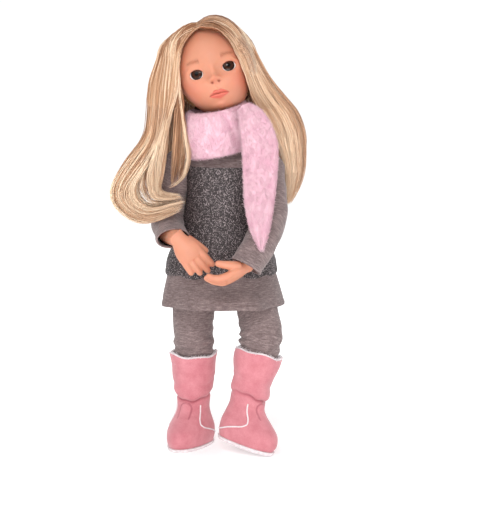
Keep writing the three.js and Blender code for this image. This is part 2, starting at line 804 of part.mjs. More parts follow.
// Boots: an upper with a lining that shows at the rim, on a thin sole
function buildBoot(name, leg) {
  const upper = tube(BOOT_FORM, BOOT_WALL, { sides: ROUND.boot, steps: 8 });
  const lining = tube(LINING_FORM, LINING, { sides: ROUND.boot, steps: 3, grow: -BOOT_WALL - GAP });
  const sole = body(SOLE_FORM, { sides: ROUND.boot, steps: 1 });
  add(leg.lower, `boot_upper_${name}`, upper.translate(0, 0, FLOOR), SUEDE);
  add(leg.lower, `boot_lining_${name}`, lining.translate(0, 0, FLOOR), WHITE_PLUSH);
  add(leg.lower, `boot_sole_${name}`, sole.translate(0, 0, FLOOR), RUBBER);
}
buildBoot("right", legs.right);
buildBoot("left", legs.left);

// Trouser legs, cut level under the seat and mitred at the knee
function buildTrouserLeg(name, leg) {
  const { twist, bend } = leg.pose;
  const seatLow = SEAT_FORM[0][0] - GAP;
  const above = seenFrom(leg.upper, block(CUT, CUT, CUT, 0, 0, seatLow + CUT / 2), torsoFrame);
  const below = mitre(twist, bend, 1).translate(0, 0, -THIGH);
  const top = tube(TROUSER_TOP_FORM, KNIT, { sides: ROUND.cloth, steps: 4 });
  const trunk = seenFrom(leg.upper, torsoShape(GAP), torsoFrame);
  add(leg.upper, `trouser_thigh_${name}`, largest(cut(top, above, below, trunk)), JERSEY);
  const over = mitre(0, -bend, -1);
  const end = tube(TROUSER_END_FORM, KNIT, { sides: ROUND.cloth, steps: 4 });
  add(leg.lower, `trouser_shin_${name}`, largest(cut(end, over)), JERSEY);
}
buildTrouserLeg("right", legs.right);
buildTrouserLeg("left", legs.left);
add(torsoFrame, "trousers_seat", tube(SEAT_FORM, KNIT, { sides: ROUND.trunk, steps: 4 }), JERSEY);

// Tunic: sleeves first, then the yoke and bodice with armholes round them
function sleeveShape(grow) {
  return body(SLEEVE_TOP_FORM, { sides: ROUND.cloth, steps: 7, grow, longer: grow });
}

function buildSleeve(name, arm) {
  const { twist, bend } = arm.pose;
  const below = mitre(twist, bend, 1).translate(0, 0, -UPPER_ARM);
  const inside = body(SLEEVE_TOP_FORM, { sides: ROUND.cloth, steps: 7, grow: -KNIT, longer: -KNIT });
  const openEnd = bar(SLEEVE_TOP_FORM[5][1] - KNIT, -CUT / 2, -UPPER_ARM - 10, ROUND.cloth);
  const trunk = seenFrom(arm.upper, torsoShape(GAP), torsoFrame);
  const top = cut(sleeveShape(0), inside, openEnd, below, trunk);
  add(arm.upper, `sleeve_upper_${name}`, largest(top), JERSEY);
  const over = mitre(0, -bend, -1);
  const end = tube(SLEEVE_END_FORM, KNIT, { sides: ROUND.cloth, steps: 5 });
  add(arm.lower, `sleeve_lower_${name}`, largest(cut(end, over)), JERSEY);
}
buildSleeve("right", arms.right);
buildSleeve("left", arms.left);

function armholes() {
  return Object.values(arms).map((arm) => seenFrom(torsoFrame, sleeveShape(GAP), arm.upper));
}

function skirtFold(angle, share) {
  const { count, depth, turn } = SKIRT_FOLDS;
  return depth * (1 - share) * Math.cos(count * angle + turn);
}
const yoke = cut(body(YOKE_FORM, { sides: ROUND.trunk, steps: 4 }), torsoShape(GAP), ...armholes());
add(torsoFrame, "tunic_yoke", largest(yoke), JERSEY);
const bodice = cut(tube(BODICE_FORM, KNIT, { sides: ROUND.trunk, steps: 6 }), torsoShape(GAP), ...armholes());
add(torsoFrame, "tunic_bodice", largest(bodice), GLITTER);
const skirt = tube(SKIRT_FORM, KNIT, { sides: ROUND.skirt, steps: 3, ripple: skirtFold });
add(torsoFrame, "tunic_skirt", skirt, JERSEY);

// Scarf
function scarfLoop(grow = 0) {
  const rings = [];
  const { around, band: sides } = SCARF_FACETS;
  for (let i = 0; i < around; i++) {
    const turn = (2 * Math.PI * i) / around;
    const out = vec(Math.cos(turn), Math.sin(turn), 0);
    const front = Math.max(0, -Math.sin(turn));
    const height = SCARF.z + SCARF.rise * Math.cos(turn) - SCARF.sag * front;
    const ring = [];
    for (let s = 0; s < sides; s++) {
      const angle = (2 * Math.PI * s) / sides;
      const up = (SCARF.high + grow) * Math.sin(angle);
      const away = (SCARF.thick + grow) * Math.cos(angle) - (SCARF.flare * Math.sin(angle));
      const x = SCARF.x + (SCARF.half + away) * out.x;
      const y = SCARF.y + (SCARF.depth + away) * out.y;
      ring.push(vec(x, y, height + up));
    }
    rings.push(ring);
  }
  return loft(rings, true);
}

function headInTorso(grow) {
  const shape = headShape(grow + 1, CAP_FACETS).translate(HEAD_CENTRE.x, HEAD_CENTRE.y, HEAD_CENTRE.z);
  return seenFrom(torsoFrame, shape, headFrame);
}

function tailShape(grow = 0) {
  return sweep(TAIL, vec(0, -1, 0), { sides: LOCK_FACETS.narrow, steps: 10, grow });
}
const yokeRoom = body(YOKE_FORM, { sides: ROUND.trunk, steps: 4, grow: GAP, longer: GAP });
const bodiceRoom = body(BODICE_FORM, { sides: ROUND.trunk, steps: 6, grow: GAP, longer: GAP });
const clothes = [torsoShape(GAP), yokeRoom, bodiceRoom, ...armholes()];
add(torsoFrame, "scarf_loop", largest(cut(scarfLoop(), headInTorso(GAP), ...clothes)), PLUSH);
const lowerSleeves = Object.values(arms).map((arm) => {
  const room = body(SLEEVE_END_FORM, { sides: ROUND.cloth, steps: 5, grow: GAP, longer: GAP });
  return seenFrom(torsoFrame, room, arm.lower);
});
const tail = cut(tailShape(), scarfLoop(GAP), headInTorso(GAP), ...clothes, ...lowerSleeves);
add(torsoFrame, "scarf_tail", largest(tail), PLUSH);

// Hair: a cap with a parting, and three hanging masses
function hairCap(grow = 0) {
  const place = [HEAD_CENTRE.x, HEAD_CENTRE.y, HEAD_CENTRE.z];
  return headShape(HAIR_CAP + grow, CAP_FACETS).translate(...place);
}

function faceWindow() {
  const { half, low, temple, peak } = FACE_WINDOW;
  const arch = new THREE.Shape();
  arch.moveTo(-half, low);
  arch.lineTo(-half, temple);
  arch.quadraticCurveTo(...WINDOW_BENDS.right, ...peak);
  arch.quadraticCurveTo(...WINDOW_BENDS.left, half, temple);
  arch.lineTo(half, low);
  const options = { depth: WINDOW_DEPTH, bevelEnabled: false, curveSegments: 7 };
  const window = new THREE.ExtrudeGeometry(arch, options).rotateX(Math.PI / 2);
  return window.translate(HEAD_CENTRE.x, HEAD_CENTRE.y + WINDOW_BACK, HEAD_CENTRE.z);
}

function hairCrown() {
  const place = [HEAD_CENTRE.x, HEAD_CENTRE.y, HEAD_CENTRE.z];
  const skull = headShape(HAIR_ROOT, CAP_FACETS).translate(...place);
  const below = block(CUT, CUT, CUT, 0, 0, CROWN_LOW - CUT / 2);
  const { radius, length, facets } = PARTING;
  const groove = new THREE.CylinderGeometry(radius, radius, length, facets);
  groove.translate(PARTING.x, PARTING.y, PARTING.z);
  return largest(cut(hairCap(), skull, faceWindow(), below, groove));
}
add(headFrame, "hair_crown", hairCrown(), HAIR);

function hangingHair(knots, face, options) {
  const shape = sweep(knots, face, options);
  const tools = [seenFrom(hangFrame, hairCap(GAP), headFrame)];
  const cloth = [...clothes, scarfLoop(GAP), tailShape(GAP), ...lowerSleeves];
  tools.push(...cloth.map((tool) => seenFrom(hangFrame, tool, torsoFrame)));
  return largest(cut(shape, ...tools));
}
const backShape = hangingHair(BACK_LOCK, vec(0, 1, 0), { sides: LOCK_FACETS.wide, steps: 8 });
add(hangFrame, "hair_back", backShape, HAIR);
const besideBack = sweep(BACK_LOCK, vec(0, 1, 0), { sides: LOCK_FACETS.wide, steps: 8, grow: GAP });
const rightLock = hangingHair(RIGHT_LOCK, vec(0, -1, 0), { sides: LOCK_FACETS.wide, steps: 12 });
add(hangFrame, "hair_right", largest(cut(rightLock, besideBack)), HAIR);
const leftLock = hangingHair(LEFT_LOCK, vec(0, -1, 0), { sides: LOCK_FACETS.narrow, steps: 10 });
add(hangFrame, "hair_left", largest(cut(leftLock, besideBack)), HAIR);

// The part's origin is the middle of its box, on the floor.
doll.updateMatrixWorld(true);
const box = new THREE.Box3().setFromObject(doll, true);
const centre = box.getCenter(vec(0, 0, 0));
doll.position.set(-centre.x, -centre.y, -box.min.z);
doll.updateMatrixWorld(true);

export default doll;
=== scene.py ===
# A jointed vinyl play doll in a knitted tunic, trousers, plush scarf and boots.
# The pieces are shaped in millimetres in the frames of the doll's bodies and placed in metres.

import json
import math

import bmesh
import bpy
import numpy as np
from mathutils import Matrix, Vector


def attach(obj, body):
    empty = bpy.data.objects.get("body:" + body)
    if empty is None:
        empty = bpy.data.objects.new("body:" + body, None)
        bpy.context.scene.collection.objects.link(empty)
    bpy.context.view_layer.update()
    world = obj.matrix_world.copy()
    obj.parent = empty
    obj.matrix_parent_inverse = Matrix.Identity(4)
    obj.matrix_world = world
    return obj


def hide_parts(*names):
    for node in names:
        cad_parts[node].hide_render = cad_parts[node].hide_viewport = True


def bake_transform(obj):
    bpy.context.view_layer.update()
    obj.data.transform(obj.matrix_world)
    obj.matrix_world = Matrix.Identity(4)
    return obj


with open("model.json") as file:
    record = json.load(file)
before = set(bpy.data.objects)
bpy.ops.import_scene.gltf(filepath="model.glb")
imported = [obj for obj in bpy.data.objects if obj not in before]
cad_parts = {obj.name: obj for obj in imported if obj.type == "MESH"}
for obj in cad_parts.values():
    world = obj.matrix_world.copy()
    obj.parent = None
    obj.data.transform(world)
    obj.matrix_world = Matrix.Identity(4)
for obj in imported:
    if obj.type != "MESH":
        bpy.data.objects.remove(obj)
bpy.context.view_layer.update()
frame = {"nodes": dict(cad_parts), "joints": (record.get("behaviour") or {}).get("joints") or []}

MM = 0.001
SIDES = {"right": -1, "left": 1}
rng = np.random.default_rng(7)
# Rows and columns of points on the surfaces
GRID = {
    "skull": (280, 320), "eye": (60, 72), "scalp": (90, 160), "loop": (260, 110), "tail": (220, 90),
    "yoke": (30, 96), "bodice": (130, 160), "skirt": (80, 200), "seat": (40, 120), "limb": (110, 72),
    "boot": (130, 140), "sole": (14, 120), "forearm": (40, 40), "palm": (24, 40), "finger": (26, 16),
}

# Pose of the solids in degrees, and lengths between joints
TORSO_LEAN = 0.5
TORSO_PITCH = 5.5
HEAD_TILT = -13.5
FACE_LIFT = -12.5
ARM_POSE = {
    "right": {"swing": -3, "spread": 16, "twist": 20.5, "bend": -87},
    "left": {"swing": -34.5, "spread": -3.5, "twist": -67, "bend": -32.5},
}
LEG_POSE = {
    "right": {"swing": -TORSO_PITCH, "spread": -TORSO_LEAN, "twist": -22, "bend": 0},
    "left": {"swing": -26.5, "spread": -9, "twist": 48, "bend": 30},
}
HAND_POSE = {
    "right": {"roll": 116, "bend": 68, "aside": -10, "curl": 5, "thumb": 4, "shift": (-1, 0, 2)},
    "left": {"roll": -7, "bend": 24, "aside": 22, "curl": 24, "thumb": 28, "shift": (0, 0, 0)},
}
UPPER_ARM = 65
FOREARM = 67
THIGH = 82
SHIN = 85
ANKLE = 38
HIP_HEIGHT = THIGH + SHIN + ANKLE
HIP = (33.5, 4, 0)
SHOULDER = (53, 2, 116)
NECK = (0, 6, 185)
HEAD_CENTRE = (0, -6, 44)


def turned(x=0, y=0, z=0):
    about = [Matrix.Rotation(math.radians(a), 4, n) for a, n in ((x, "X"), (y, "Y"), (z, "Z"))]
    return about[0] @ about[1] @ about[2]


def frame_at(parent, spot, **turn):
    return parent @ Matrix.Translation(spot) @ turned(**turn)


JOINTS = {joint["name"]: joint for joint in frame["joints"]}
TORSO_TURN = turned(TORSO_PITCH, TORSO_LEAN)
HIP_MIDDLE = sum((Vector(JOINTS[f"hip_swing_{s}"]["pos_m"]) for s in SIDES), Vector()) / (2 * MM)
HIP_LINE = HIP_MIDDLE - TORSO_TURN @ Vector((0, HIP[1], HIP[2]))
TORSO = Matrix.Translation(HIP_LINE) @ TORSO_TURN
HANG = frame_at(TORSO, NECK)
HEAD = frame_at(frame_at(HANG, (0, 0, 0), y=HEAD_TILT), (0, 0, 0), x=FACE_LIFT)
HEAD = frame_at(HEAD, HEAD_CENTRE)


def limb_frames(start, side, length, pose):
    swivel = frame_at(TORSO, (side * start[0], start[1], start[2]), x=pose["swing"])
    upper = frame_at(swivel, (0, 0, 0), y=pose["spread"])
    swivel = frame_at(upper, (0, 0, -length), z=pose["twist"])
    return upper, frame_at(swivel, (0, 0, 0), x=pose["bend"])


ARMS = {s: limb_frames(SHOULDER, k, UPPER_ARM, ARM_POSE[s]) for s, k in SIDES.items()}
LEGS = {s: limb_frames(HIP, k, THIGH, LEG_POSE[s]) for s, k in SIDES.items()}


# Numbers and shapes
def placed(points, place):
    matrix = np.array(place)
    return np.asarray(points, float) @ matrix[:3, :3].T + matrix[:3, 3]


def smooth_step(value, low, high):
    t = np.clip((value - low) / (high - low), 0, 1)
    return t * t * (3 - 2 * t)


def bell(value, middle, width):
    """1 at the middle, falling smoothly to 0 on both sides."""
    return np.exp(-(((value - middle) / width) ** 2))


def mound(x, z, cx, cz, wide, high):
    return bell(x, cx, wide) * bell(z, cz, high)


def unit(vectors):
    return vectors / np.maximum(np.linalg.norm(vectors, axis=-1, keepdims=True), 1e-9)


def along(stations, shares):
    """Values on one smooth curve through the stations, at shares from 0 to 1."""
    table = np.array(stations, float)
    last = len(table) - 1
    spot = np.clip(np.asarray(shares, float) * last, 0, last - 1e-9)
    first = spot.astype(int)
    f = spot - first
    f = f.reshape(f.shape + (1,) * (table.ndim - 1))
    ends = np.concatenate([[2 * table[0] - table[1]], table, [2 * table[-1] - table[-2]]])
    a, b, c, d = (ends[first + i] for i in range(4))
    return b + 0.5 * f * (c - a + f * (2 * a - 5 * b + 4 * c - d + f * (3 * (b - c) + d - a)))


def grid_faces(rows, columns, wrap=True):
    row = np.arange(rows - 1)[:, None]
    column = np.arange(columns if wrap else columns - 1)[None, :]
    here = row * columns + column
    beside = row * columns + (column + 1) % columns
    return np.stack([here, beside, beside + columns, here + columns], -1).reshape(-1, 4).tolist()


def ring_angles(columns):
    return np.linspace(0, 2 * math.pi, columns, endpoint=False)


def upright(form, rows, columns, swell=None):
    """Rings across stations of height, half width, front, back, centre x and centre y."""
    share = np.linspace(0, 1, rows)
    full = [tuple(s) + (0,) * (6 - len(s)) for s in form]
    height, half, front, back, cx, cy = (v[:, None] for v in along(full, share).T)
    angle = ring_angles(columns)[None, :]
    wider = swell(angle, share[:, None], height) if swell else 0
    depth = np.where(np.sin(angle) < 0, front, back)
    x = cx + (half + wider) * np.cos(angle)
    y = cy + (depth + wider) * np.sin(angle)
    return np.stack([x, y, np.broadcast_to(height, x.shape)], -1)


def swept(knots, face, rows, columns, swell=None):
    """Rings along knots of x, y, z, half width and half thickness; the flat side looks to `face`."""
    share = np.linspace(0, 1, rows)
    line = along(knots, share)
    spot = line[:, :3]
    tangent = unit(np.gradient(spot, axis=0))
    across = unit(np.cross(tangent, np.array(face, float)))
    out = np.cross(across, tangent)
    angle = ring_angles(columns)[None, :]
    wider = swell(angle, share[:, None]) if swell else 0
    wide = (line[:, 3, None] + wider) * np.cos(angle)
    thick = (line[:, 4, None] + wider) * np.sin(angle)
    return spot[:, None] + wide[..., None] * across[:, None] + thick[..., None] * out[:, None]


def piece(name, points, faces, look, place=None, values=None):
    """A smooth mesh object from points in millimetres, with one value per point where given."""
    spots = np.asarray(points, float).reshape(-1, 3)
    if place is not None:
        spots = placed(spots, place)
    mesh = bpy.data.meshes.new(name)
    mesh.from_pydata((spots * MM).tolist(), [], faces)
    mesh.polygons.foreach_set("use_smooth", np.ones(len(mesh.polygons), bool))
    for key, numbers in (values or {}).items():
        attribute = mesh.attributes.new(key, "FLOAT", "POINT")
        attribute.data.foreach_set("value", np.asarray(numbers, np.float32).ravel())
    mesh.materials.append(look)
    made = bpy.data.objects.new(name, mesh)
    bpy.context.scene.collection.objects.link(made)
    return made


def lofted(name, rings, look, place=None, ends=(False, False), values=None):
    """A surface through rings, with a flat end where asked for."""
    rows, columns = rings.shape[:2]
    faces = grid_faces(rows, columns)
    if ends[0]:
        faces.append(list(range(columns))[::-1])
    if ends[1]:
        faces.append(list(range((rows - 1) * columns, rows * columns)))
    return piece(name, rings, faces, look, place, values)


def run_length(rings):
    """How far down the piece each ring lies, one number per point."""
    middles = rings.mean(axis=1)
    steps = np.linalg.norm(np.diff(middles, axis=0), axis=1)
    reach = np.concatenate([[0], np.cumsum(steps)])
    return np.repeat(reach[:, None], rings.shape[1], axis=1)


def surface_of(made):
    """Points, normals and areas of an object's faces, in millimetres."""
    mesh = made.data
    count = len(mesh.polygons)
    centres = np.empty(count * 3)
    normals = np.empty(count * 3)
    areas = np.empty(count)
    mesh.polygons.foreach_get("center", centres)
    mesh.polygons.foreach_get("normal", normals)
    mesh.polygons.foreach_get("area", areas)
    return centres.reshape(-1, 3) / MM, normals.reshape(-1, 3), areas / MM**2


def strands(name, paths, radius, look, values, sides=3):
    """Thin tubes along paths[strand, point]; `radius` has one number per path point."""
    count, points = paths.shape[:2]
    tangent = unit(np.gradient(paths, axis=1))
    start = tangent[:, 0]
    up = np.where(np.abs(start[:, 2:3]) > 0.9, [[1.0, 0, 0]], [[0, 0, 1.0]])
    across = np.empty_like(tangent)
    across[:, 0] = unit(np.cross(start, up))
    for index in range(1, points):
        here = tangent[:, index]
        before = across[:, index - 1]
        across[:, index] = unit(before - (before * here).sum(axis=1, keepdims=True) * here)
    out = np.cross(tangent, across)
    angle = ring_angles(sides)
    wide = radius[..., None, None]
    ring = np.cos(angle)[:, None] * across[:, :, None] + np.sin(angle)[:, None] * out[:, :, None]
    spots = paths[:, :, None] + wide * ring
    one = np.array(grid_faces(points, sides))
    shift = np.arange(count)[:, None, None] * points * sides
    faces = (one[None] + shift).reshape(-1, 4).tolist()
    repeated = {key: np.repeat(v[..., None], sides, axis=-1) for key, v in values.items()}
    return piece(name, spots, faces, look, None, repeated)


# Materials
def linear(channel):
    share = channel / 255
    return ((share + 0.055) / 1.055) ** 2.4 if channel > 10 else share / 12.92


def srgb(red, green, blue):
    """A colour given as a screen shows it."""
    return (linear(red), linear(green), linear(blue), 1)


def new_look(name, colour, roughness, **sockets):
    look = bpy.data.materials.new(name)
    look.use_nodes = True
    shader = look.node_tree.nodes["Principled BSDF"]
    shader.inputs["Base Color"].default_value = colour
    shader.inputs["Roughness"].default_value = roughness
    for socket, value in sockets.items():
        shader.inputs[socket.replace("_", " ")].default_value = value
    return look


def feed(look, socket, value):
    """Links an output of another node to a socket, or sets a plain value."""
    if isinstance(value, bpy.types.NodeSocket):
        look.node_tree.links.new(value, socket)
    else:
        socket.default_value = value


def node(look, kind, inputs=None, **settings):
    made = look.node_tree.nodes.new(kind)
    for key, value in settings.items():
        setattr(made, key, value)
    for socket, value in (inputs or {}).items():
        feed(look, made.inputs[socket], value)
    return made


def to_shader(look, socket, value):
    look.node_tree.links.new(value, look.node_tree.nodes["Principled BSDF"].inputs[socket])


def value_of(look, name):
    return node(look, "ShaderNodeAttribute", attribute_name=name).outputs["Fac"]


def position(look):
    return node(look, "ShaderNodeTexCoord").outputs["Object"]


def noise(look, scale, detail=3.0, roughness=0.5, vector=None, distortion=0.0):
    inputs = {"Vector": vector or position(look), "Scale": scale, "Detail": detail}
    inputs.update({"Roughness": roughness, "Distortion": distortion})
    return node(look, "ShaderNodeTexNoise", inputs).outputs["Fac"]


def ramp(look, factor, *stops):
    made = node(look, "ShaderNodeValToRGB", {"Fac": factor})
    elements = made.color_ramp.elements
    while len(elements) < len(stops):
        elements.new(0.5)
    for element, (spot, colour) in zip(elements, stops):
        element.position = spot
        element.color = colour
    return made.outputs["Color"]


def grey(level):
    return (level, level, level, 1)


def mixed(look, factor, one, two):
    """A blend of two colours; the mix node has its factor and colours at these sockets."""
    inputs = {0: factor, 6: one, 7: two}
    return node(look, "ShaderNodeMix", inputs, data_type="RGBA", blend_type="MIX").outputs[2]


def maths(look, operation, one, two=0.0):
    return node(look, "ShaderNodeMath", {0: one, 1: two}, operation=operation).outputs[0]


def step_between(look, factor, low, high):
    """0 below one level of a factor and 1 above another."""
    return ramp(look, factor, (low, grey(0)), (high, grey(1)))


def bumped(look, height, strength, distance):
    made = node(look, "ShaderNodeBump", {"Height": height, "Strength": strength, "Distance": distance})
    to_shader(look, "Normal", made.outputs["Normal"])


SKIN_COLOUR = srgb(202, 138, 111)
VINYL_DEPTH = {"Subsurface_Weight": 0.25, "Subsurface_Scale": 0.006}


def vinyl_look(name, low, high):
    """Matt vinyl, and its slightly uneven colour."""
    look = new_look(name, SKIN_COLOUR, 0.46, Specular_IOR_Level=0.35, **VINYL_DEPTH)
    colour = ramp(look, noise(look, 60, 2), (0.3, low), (0.7, high))
    to_shader(look, "Base Color", colour)
    bumped(look, noise(look, 2500, 2), 0.05, 0.0003)
    return look, colour


def skin_look():
    return vinyl_look("vinyl_skin", srgb(198, 132, 105), srgb(206, 141, 114))[0]


def face_look():
    look, colour = vinyl_look("vinyl_face", srgb(199, 134, 107), srgb(205, 140, 113))
    colour = mixed(look, value_of(look, "blush"), colour, srgb(202, 108, 88))
    colour = mixed(look, value_of(look, "lips"), colour, srgb(208, 98, 86))
    # painted shade in the line between the lips, in the nostrils and along the lid edges
    colour = mixed(look, value_of(look, "dark"), colour, srgb(112, 42, 30))
    strokes = maths(look, "MULTIPLY", value_of(look, "brow"), noise(look, 900, 3))
    to_shader(look, "Base Color", mixed(look, strokes, colour, srgb(132, 72, 46)))
    return look


def eye_look():
    """Pupil, brown iris with a dark edge, and white, by the distance from the iris's middle."""
    look = new_look("inset_eye", srgb(236, 232, 228), 0.05, Specular_IOR_Level=0.22)
    away = value_of(look, "away")
    fibres = noise(look, 1400, 4, 0.7)
    brown = ramp(look, fibres, (0.3, srgb(30, 13, 7)), (0.7, srgb(66, 33, 16)))
    colour = mixed(look, step_between(look, away, 0.44, 0.58), brown, srgb(14, 6, 4))
    colour = mixed(look, step_between(look, away, 0.63, 0.67), colour, srgb(218, 206, 203))
    colour = mixed(look, step_between(look, away, 0.2, 0.25), srgb(3, 2, 2), colour)
    to_shader(look, "Base Color", colour)
    return look


def hair_look(name, low, middle, high):
    look = new_look(name, middle, 0.32, Specular_IOR_Level=0.7)
    to_shader(look, "Base Color", ramp(look, value_of(look, "tone"), (0.1, low), (0.5, middle), (0.85, high)))
    return look


def jersey_vector(look, stretch, fine):
    """Coordinates that run slowly round a piece and quickly down it."""
    spot = node(look, "ShaderNodeSeparateXYZ", {"Vector": position(look)})
    x = maths(look, "MULTIPLY", spot.outputs["X"], stretch)
    y = maths(look, "MULTIPLY", spot.outputs["Y"], stretch)
    z = maths(look, "MULTIPLY", value_of(look, "down"), fine)
    return node(look, "ShaderNodeCombineXYZ", {"X": x, "Y": y, "Z": z}).outputs["Vector"]


def jersey_look(name, painted_shading):
    look = new_look(name, srgb(128, 120, 121), 0.92, Specular_IOR_Level=0.15, Sheen_Weight=0.2)
    streaks = noise(look, 1.0, 4, 0.65, jersey_vector(look, 150, 0.9))
    dark, middle, light = srgb(88, 74, 73), srgb(120, 102, 101), srgb(164, 146, 144)
    colour = ramp(look, streaks, (0.3, dark), (0.5, middle), (0.72, light))
    flecks = ramp(look, noise(look, 900, 2), (0.35, srgb(88, 75, 75)), (0.65, srgb(174, 156, 154)))
    colour = mixed(look, 0.2, colour, flecks)
    # the given amount mixes the jersey towards dark brown-grey: painted shade
    to_shader(look, "Base Color", mixed(look, painted_shading, colour, srgb(40, 30, 29)))
    rows = maths(look, "SINE", maths(look, "MULTIPLY", value_of(look, "down"), 5.2))
    bumped(look, maths(look, "ADD", rows, noise(look, 1600, 2)), 0.25, 0.0004)
    return look


def glitter_look():
    look = new_look("glitter_knit", srgb(62, 54, 57), 0.6, Specular_IOR_Level=0.5)
    crinkle = noise(look, 1000, 3, 0.6, None, 1.5)
    cells = node(look, "ShaderNodeTexVoronoi", {"Vector": position(look), "Scale": 1500.0})
    # pale metal threads in the knit: partly their own colour, partly a painted glint; the metallic part
    # reflects the lamps
    spark = maths(look, "MULTIPLY", step_between(look, cells.outputs["Color"], 0.45, 0.8), crinkle)
    glint = ramp(look, spark, (0.35, grey(0)), (0.53, grey(0.9)))
    base = ramp(look, crinkle, (0.35, srgb(24, 17, 19)), (0.62, srgb(46, 35, 37)))
    to_shader(look, "Base Color", mixed(look, glint, base, srgb(190, 174, 174)))
    to_shader(look, "Metallic", maths(look, "MULTIPLY", glint, 0.35))
    bumped(look, crinkle, 0.5, 0.0006)
    return look


def plush_look(name, deep, light):
    look = new_look(name, light, 0.95, Specular_IOR_Level=0.1, Sheen_Weight=0.3)
    # darker at the roots and between the hairs, paler at the tips: painted shade in the pile
    tips = maths(look, "MULTIPLY", value_of(look, "tip"), 0.6)
    patches = maths(look, "MULTIPLY", noise(look, 120, 2), 0.5)
    tone = maths(look, "ADD", tips, patches)
    to_shader(look, "Base Color", ramp(look, tone, (0.2, deep), (0.75, light)))
    return look


def suede_look():
    look = new_look("pink_suede", srgb(218, 132, 143), 0.95, Specular_IOR_Level=0.1, Sheen_Weight=0.35)
    mottle = noise(look, 90, 4, 0.6)
    nap = noise(look, 1500, 3)
    colour = ramp(look, mottle, (0.3, srgb(190, 112, 121)), (0.7, srgb(208, 136, 143)))
    fuzz = ramp(look, nap, (0.35, srgb(192, 108, 120)), (0.7, srgb(234, 168, 174)))
    colour = mixed(look, 0.2, colour, fuzz)
    # darker along the seam round the front tab, and painted shade in the ankle crease
    to_shader(look, "Base Color", mixed(look, value_of(look, "seam"), colour, srgb(140, 58, 72)))
    bumped(look, nap, 0.3, 0.0005)
    return look


def plain_look(name, low, high, roughness, scale=300):
    look = new_look(name, high, roughness, Specular_IOR_Level=0.3)
    to_shader(look, "Base Color", ramp(look, noise(look, scale, 3), (0.35, low), (0.65, high)))
    bumped(look, noise(look, 4 * scale, 2), 0.1, 0.0003)
    return look


SKIN = skin_look()
FACE = face_look()
EYE_GLASS = eye_look()
HAIR = hair_look("blonde_hair", srgb(160, 108, 74), srgb(222, 176, 138), srgb(250, 224, 194))
# dark brown painted shade for the sheet under the strands
SHADE_UNDER_HAIR = hair_look("shaded_under_hair", srgb(84, 54, 32), srgb(120, 84, 54), srgb(150, 112, 76))
JERSEY = jersey_look("grey_jersey", 0)
# a darker copy of the grey jersey for the tunic's yoke and skirt: painted shade
SHADED_TUNIC_JERSEY = jersey_look("shaded_tunic_jersey", 0.14)
GLITTER = glitter_look()
PINK_PLUSH = plush_look("pink_plush", srgb(206, 142, 168), srgb(238, 206, 214))
WHITE_PLUSH = plush_look("white_plush", srgb(214, 200, 204), srgb(238, 228, 230))
SUEDE = suede_look()
NYLON = plain_look("nylon", srgb(196, 190, 180), srgb(212, 206, 196), 0.4)
SOLE_RUBBER = plain_look("pale_sole", srgb(214, 204, 206), srgb(234, 226, 228), 0.7)
PIPING = plain_look("white_piping", srgb(224, 212, 214), srgb(240, 232, 234), 0.8, 800)


# Head
HEAD_SIZE = (44, 48, 53)
EYE_SPOT = (18.4, -35.4, -8)
EYE_SIZE = (10.5, 7, 10.5)
EYE_LEAN = 0.2
LID = 0.7
LID_DEPTH = 2.6
OPENING = {"half": 7.4, "upper": 5.2, "lower": 5.5, "power": 2.0, "tilt": 6}
IRIS = {"inward": 0.3, "up": 0.9}
NOSTRIL = (3.9, -21.5)
MOUTH = {"half": 12.2, "z": -33, "upper": 3.8, "lower": 5.4}
BROW = {"inset": 1.2, "half": 8.4, "up": 13.2, "arch": 1.0, "bend": 8, "slope": 0.06, "width": 2.8}
OUTSIDE = 9  # a share of the eye's opening that is surely outside it
JAW_TAPER = 0.2  # how much narrower the head is at its lowest point
FACE_EDGE = 0.2  # the face is where the skull faces forward by more than this share
LID_SPREAD = 2.4  # the lids run out into the face at this share of the opening
LID_FLAT = 1.15  # they follow the eyeball up to this share, and run on flat from there
LID_FOLD = {"deep": 0.25, "share": 1.36, "width": 0.1}
LIP = {"upper": 1.7, "lower": 2.0, "crease": 1.2, "line": 0.7}
GATHER = 0.5  # how strongly the points of the skull are drawn to the front
# Height of each swelling or hollow of the face, its place across and up, and its half width and height
FACE_FORMS = {
    "nose tip": (5.8, 0, -17.4, 4.8, 4.6),
    "nose bridge": (2.0, 0, -8, 3.8, 8),
    "nose wing": (2.0, 5.2, -18.6, 2.6, 2.7),
    "nostril": (-2.4, *NOSTRIL, 1.5, 1.2),
    "muzzle": (2.4, 0, MOUTH["z"], 11, 7.5),
    "dent over the lips": (-1.0, 0, -26, 1.7, 2.8),
    "dent under the lips": (-1.4, 0, -40.6, 7, 2.4),
    "chin": (3.8, 0, -47, 10, 6.5),
    "cheek": (2.8, 23, -23, 11, 11),
    "eye socket": (-0.7, EYE_SPOT[0], EYE_SPOT[2] + 6, 10, 7),
}
BLUSHES = {
    "cheek": (0.45, 27, -24, 12, 12),
    "nose": (0.25, 0, -19, 6, 5),
    "chin": (0.25, 0, -49, 12, 7),
    "temple": (0.2, 36, -12, 8, 26),
}
FACE_TURN = {"y": -2, "z": -2}
FACE_FRAME = frame_at(HEAD, (0, 0, 0), **FACE_TURN)


def jaw_share(z):
    low = np.clip(-z / HEAD_SIZE[2], 0, 1)
    return 1 - JAW_TAPER * low * low


def mouth_lines(x):
    """Heights of the line between the lips, the upper edge and the lower edge."""
    across = np.abs(x)
    taper = np.clip(1 - (across / MOUTH["half"]) ** 1.8, 0, 1)
    line = MOUTH["z"] - 1.3 * (x / MOUTH["half"]) ** 2 - 0.5 * bell(x, 0, 2)
    bow = 0.4 * bell(across, 3.2, 2.4) - 0.5 * bell(x, 0, 1.8)
    upper = line + taper * (MOUTH["upper"] + bow)
    return taper, line, upper, line - taper * MOUTH["lower"]


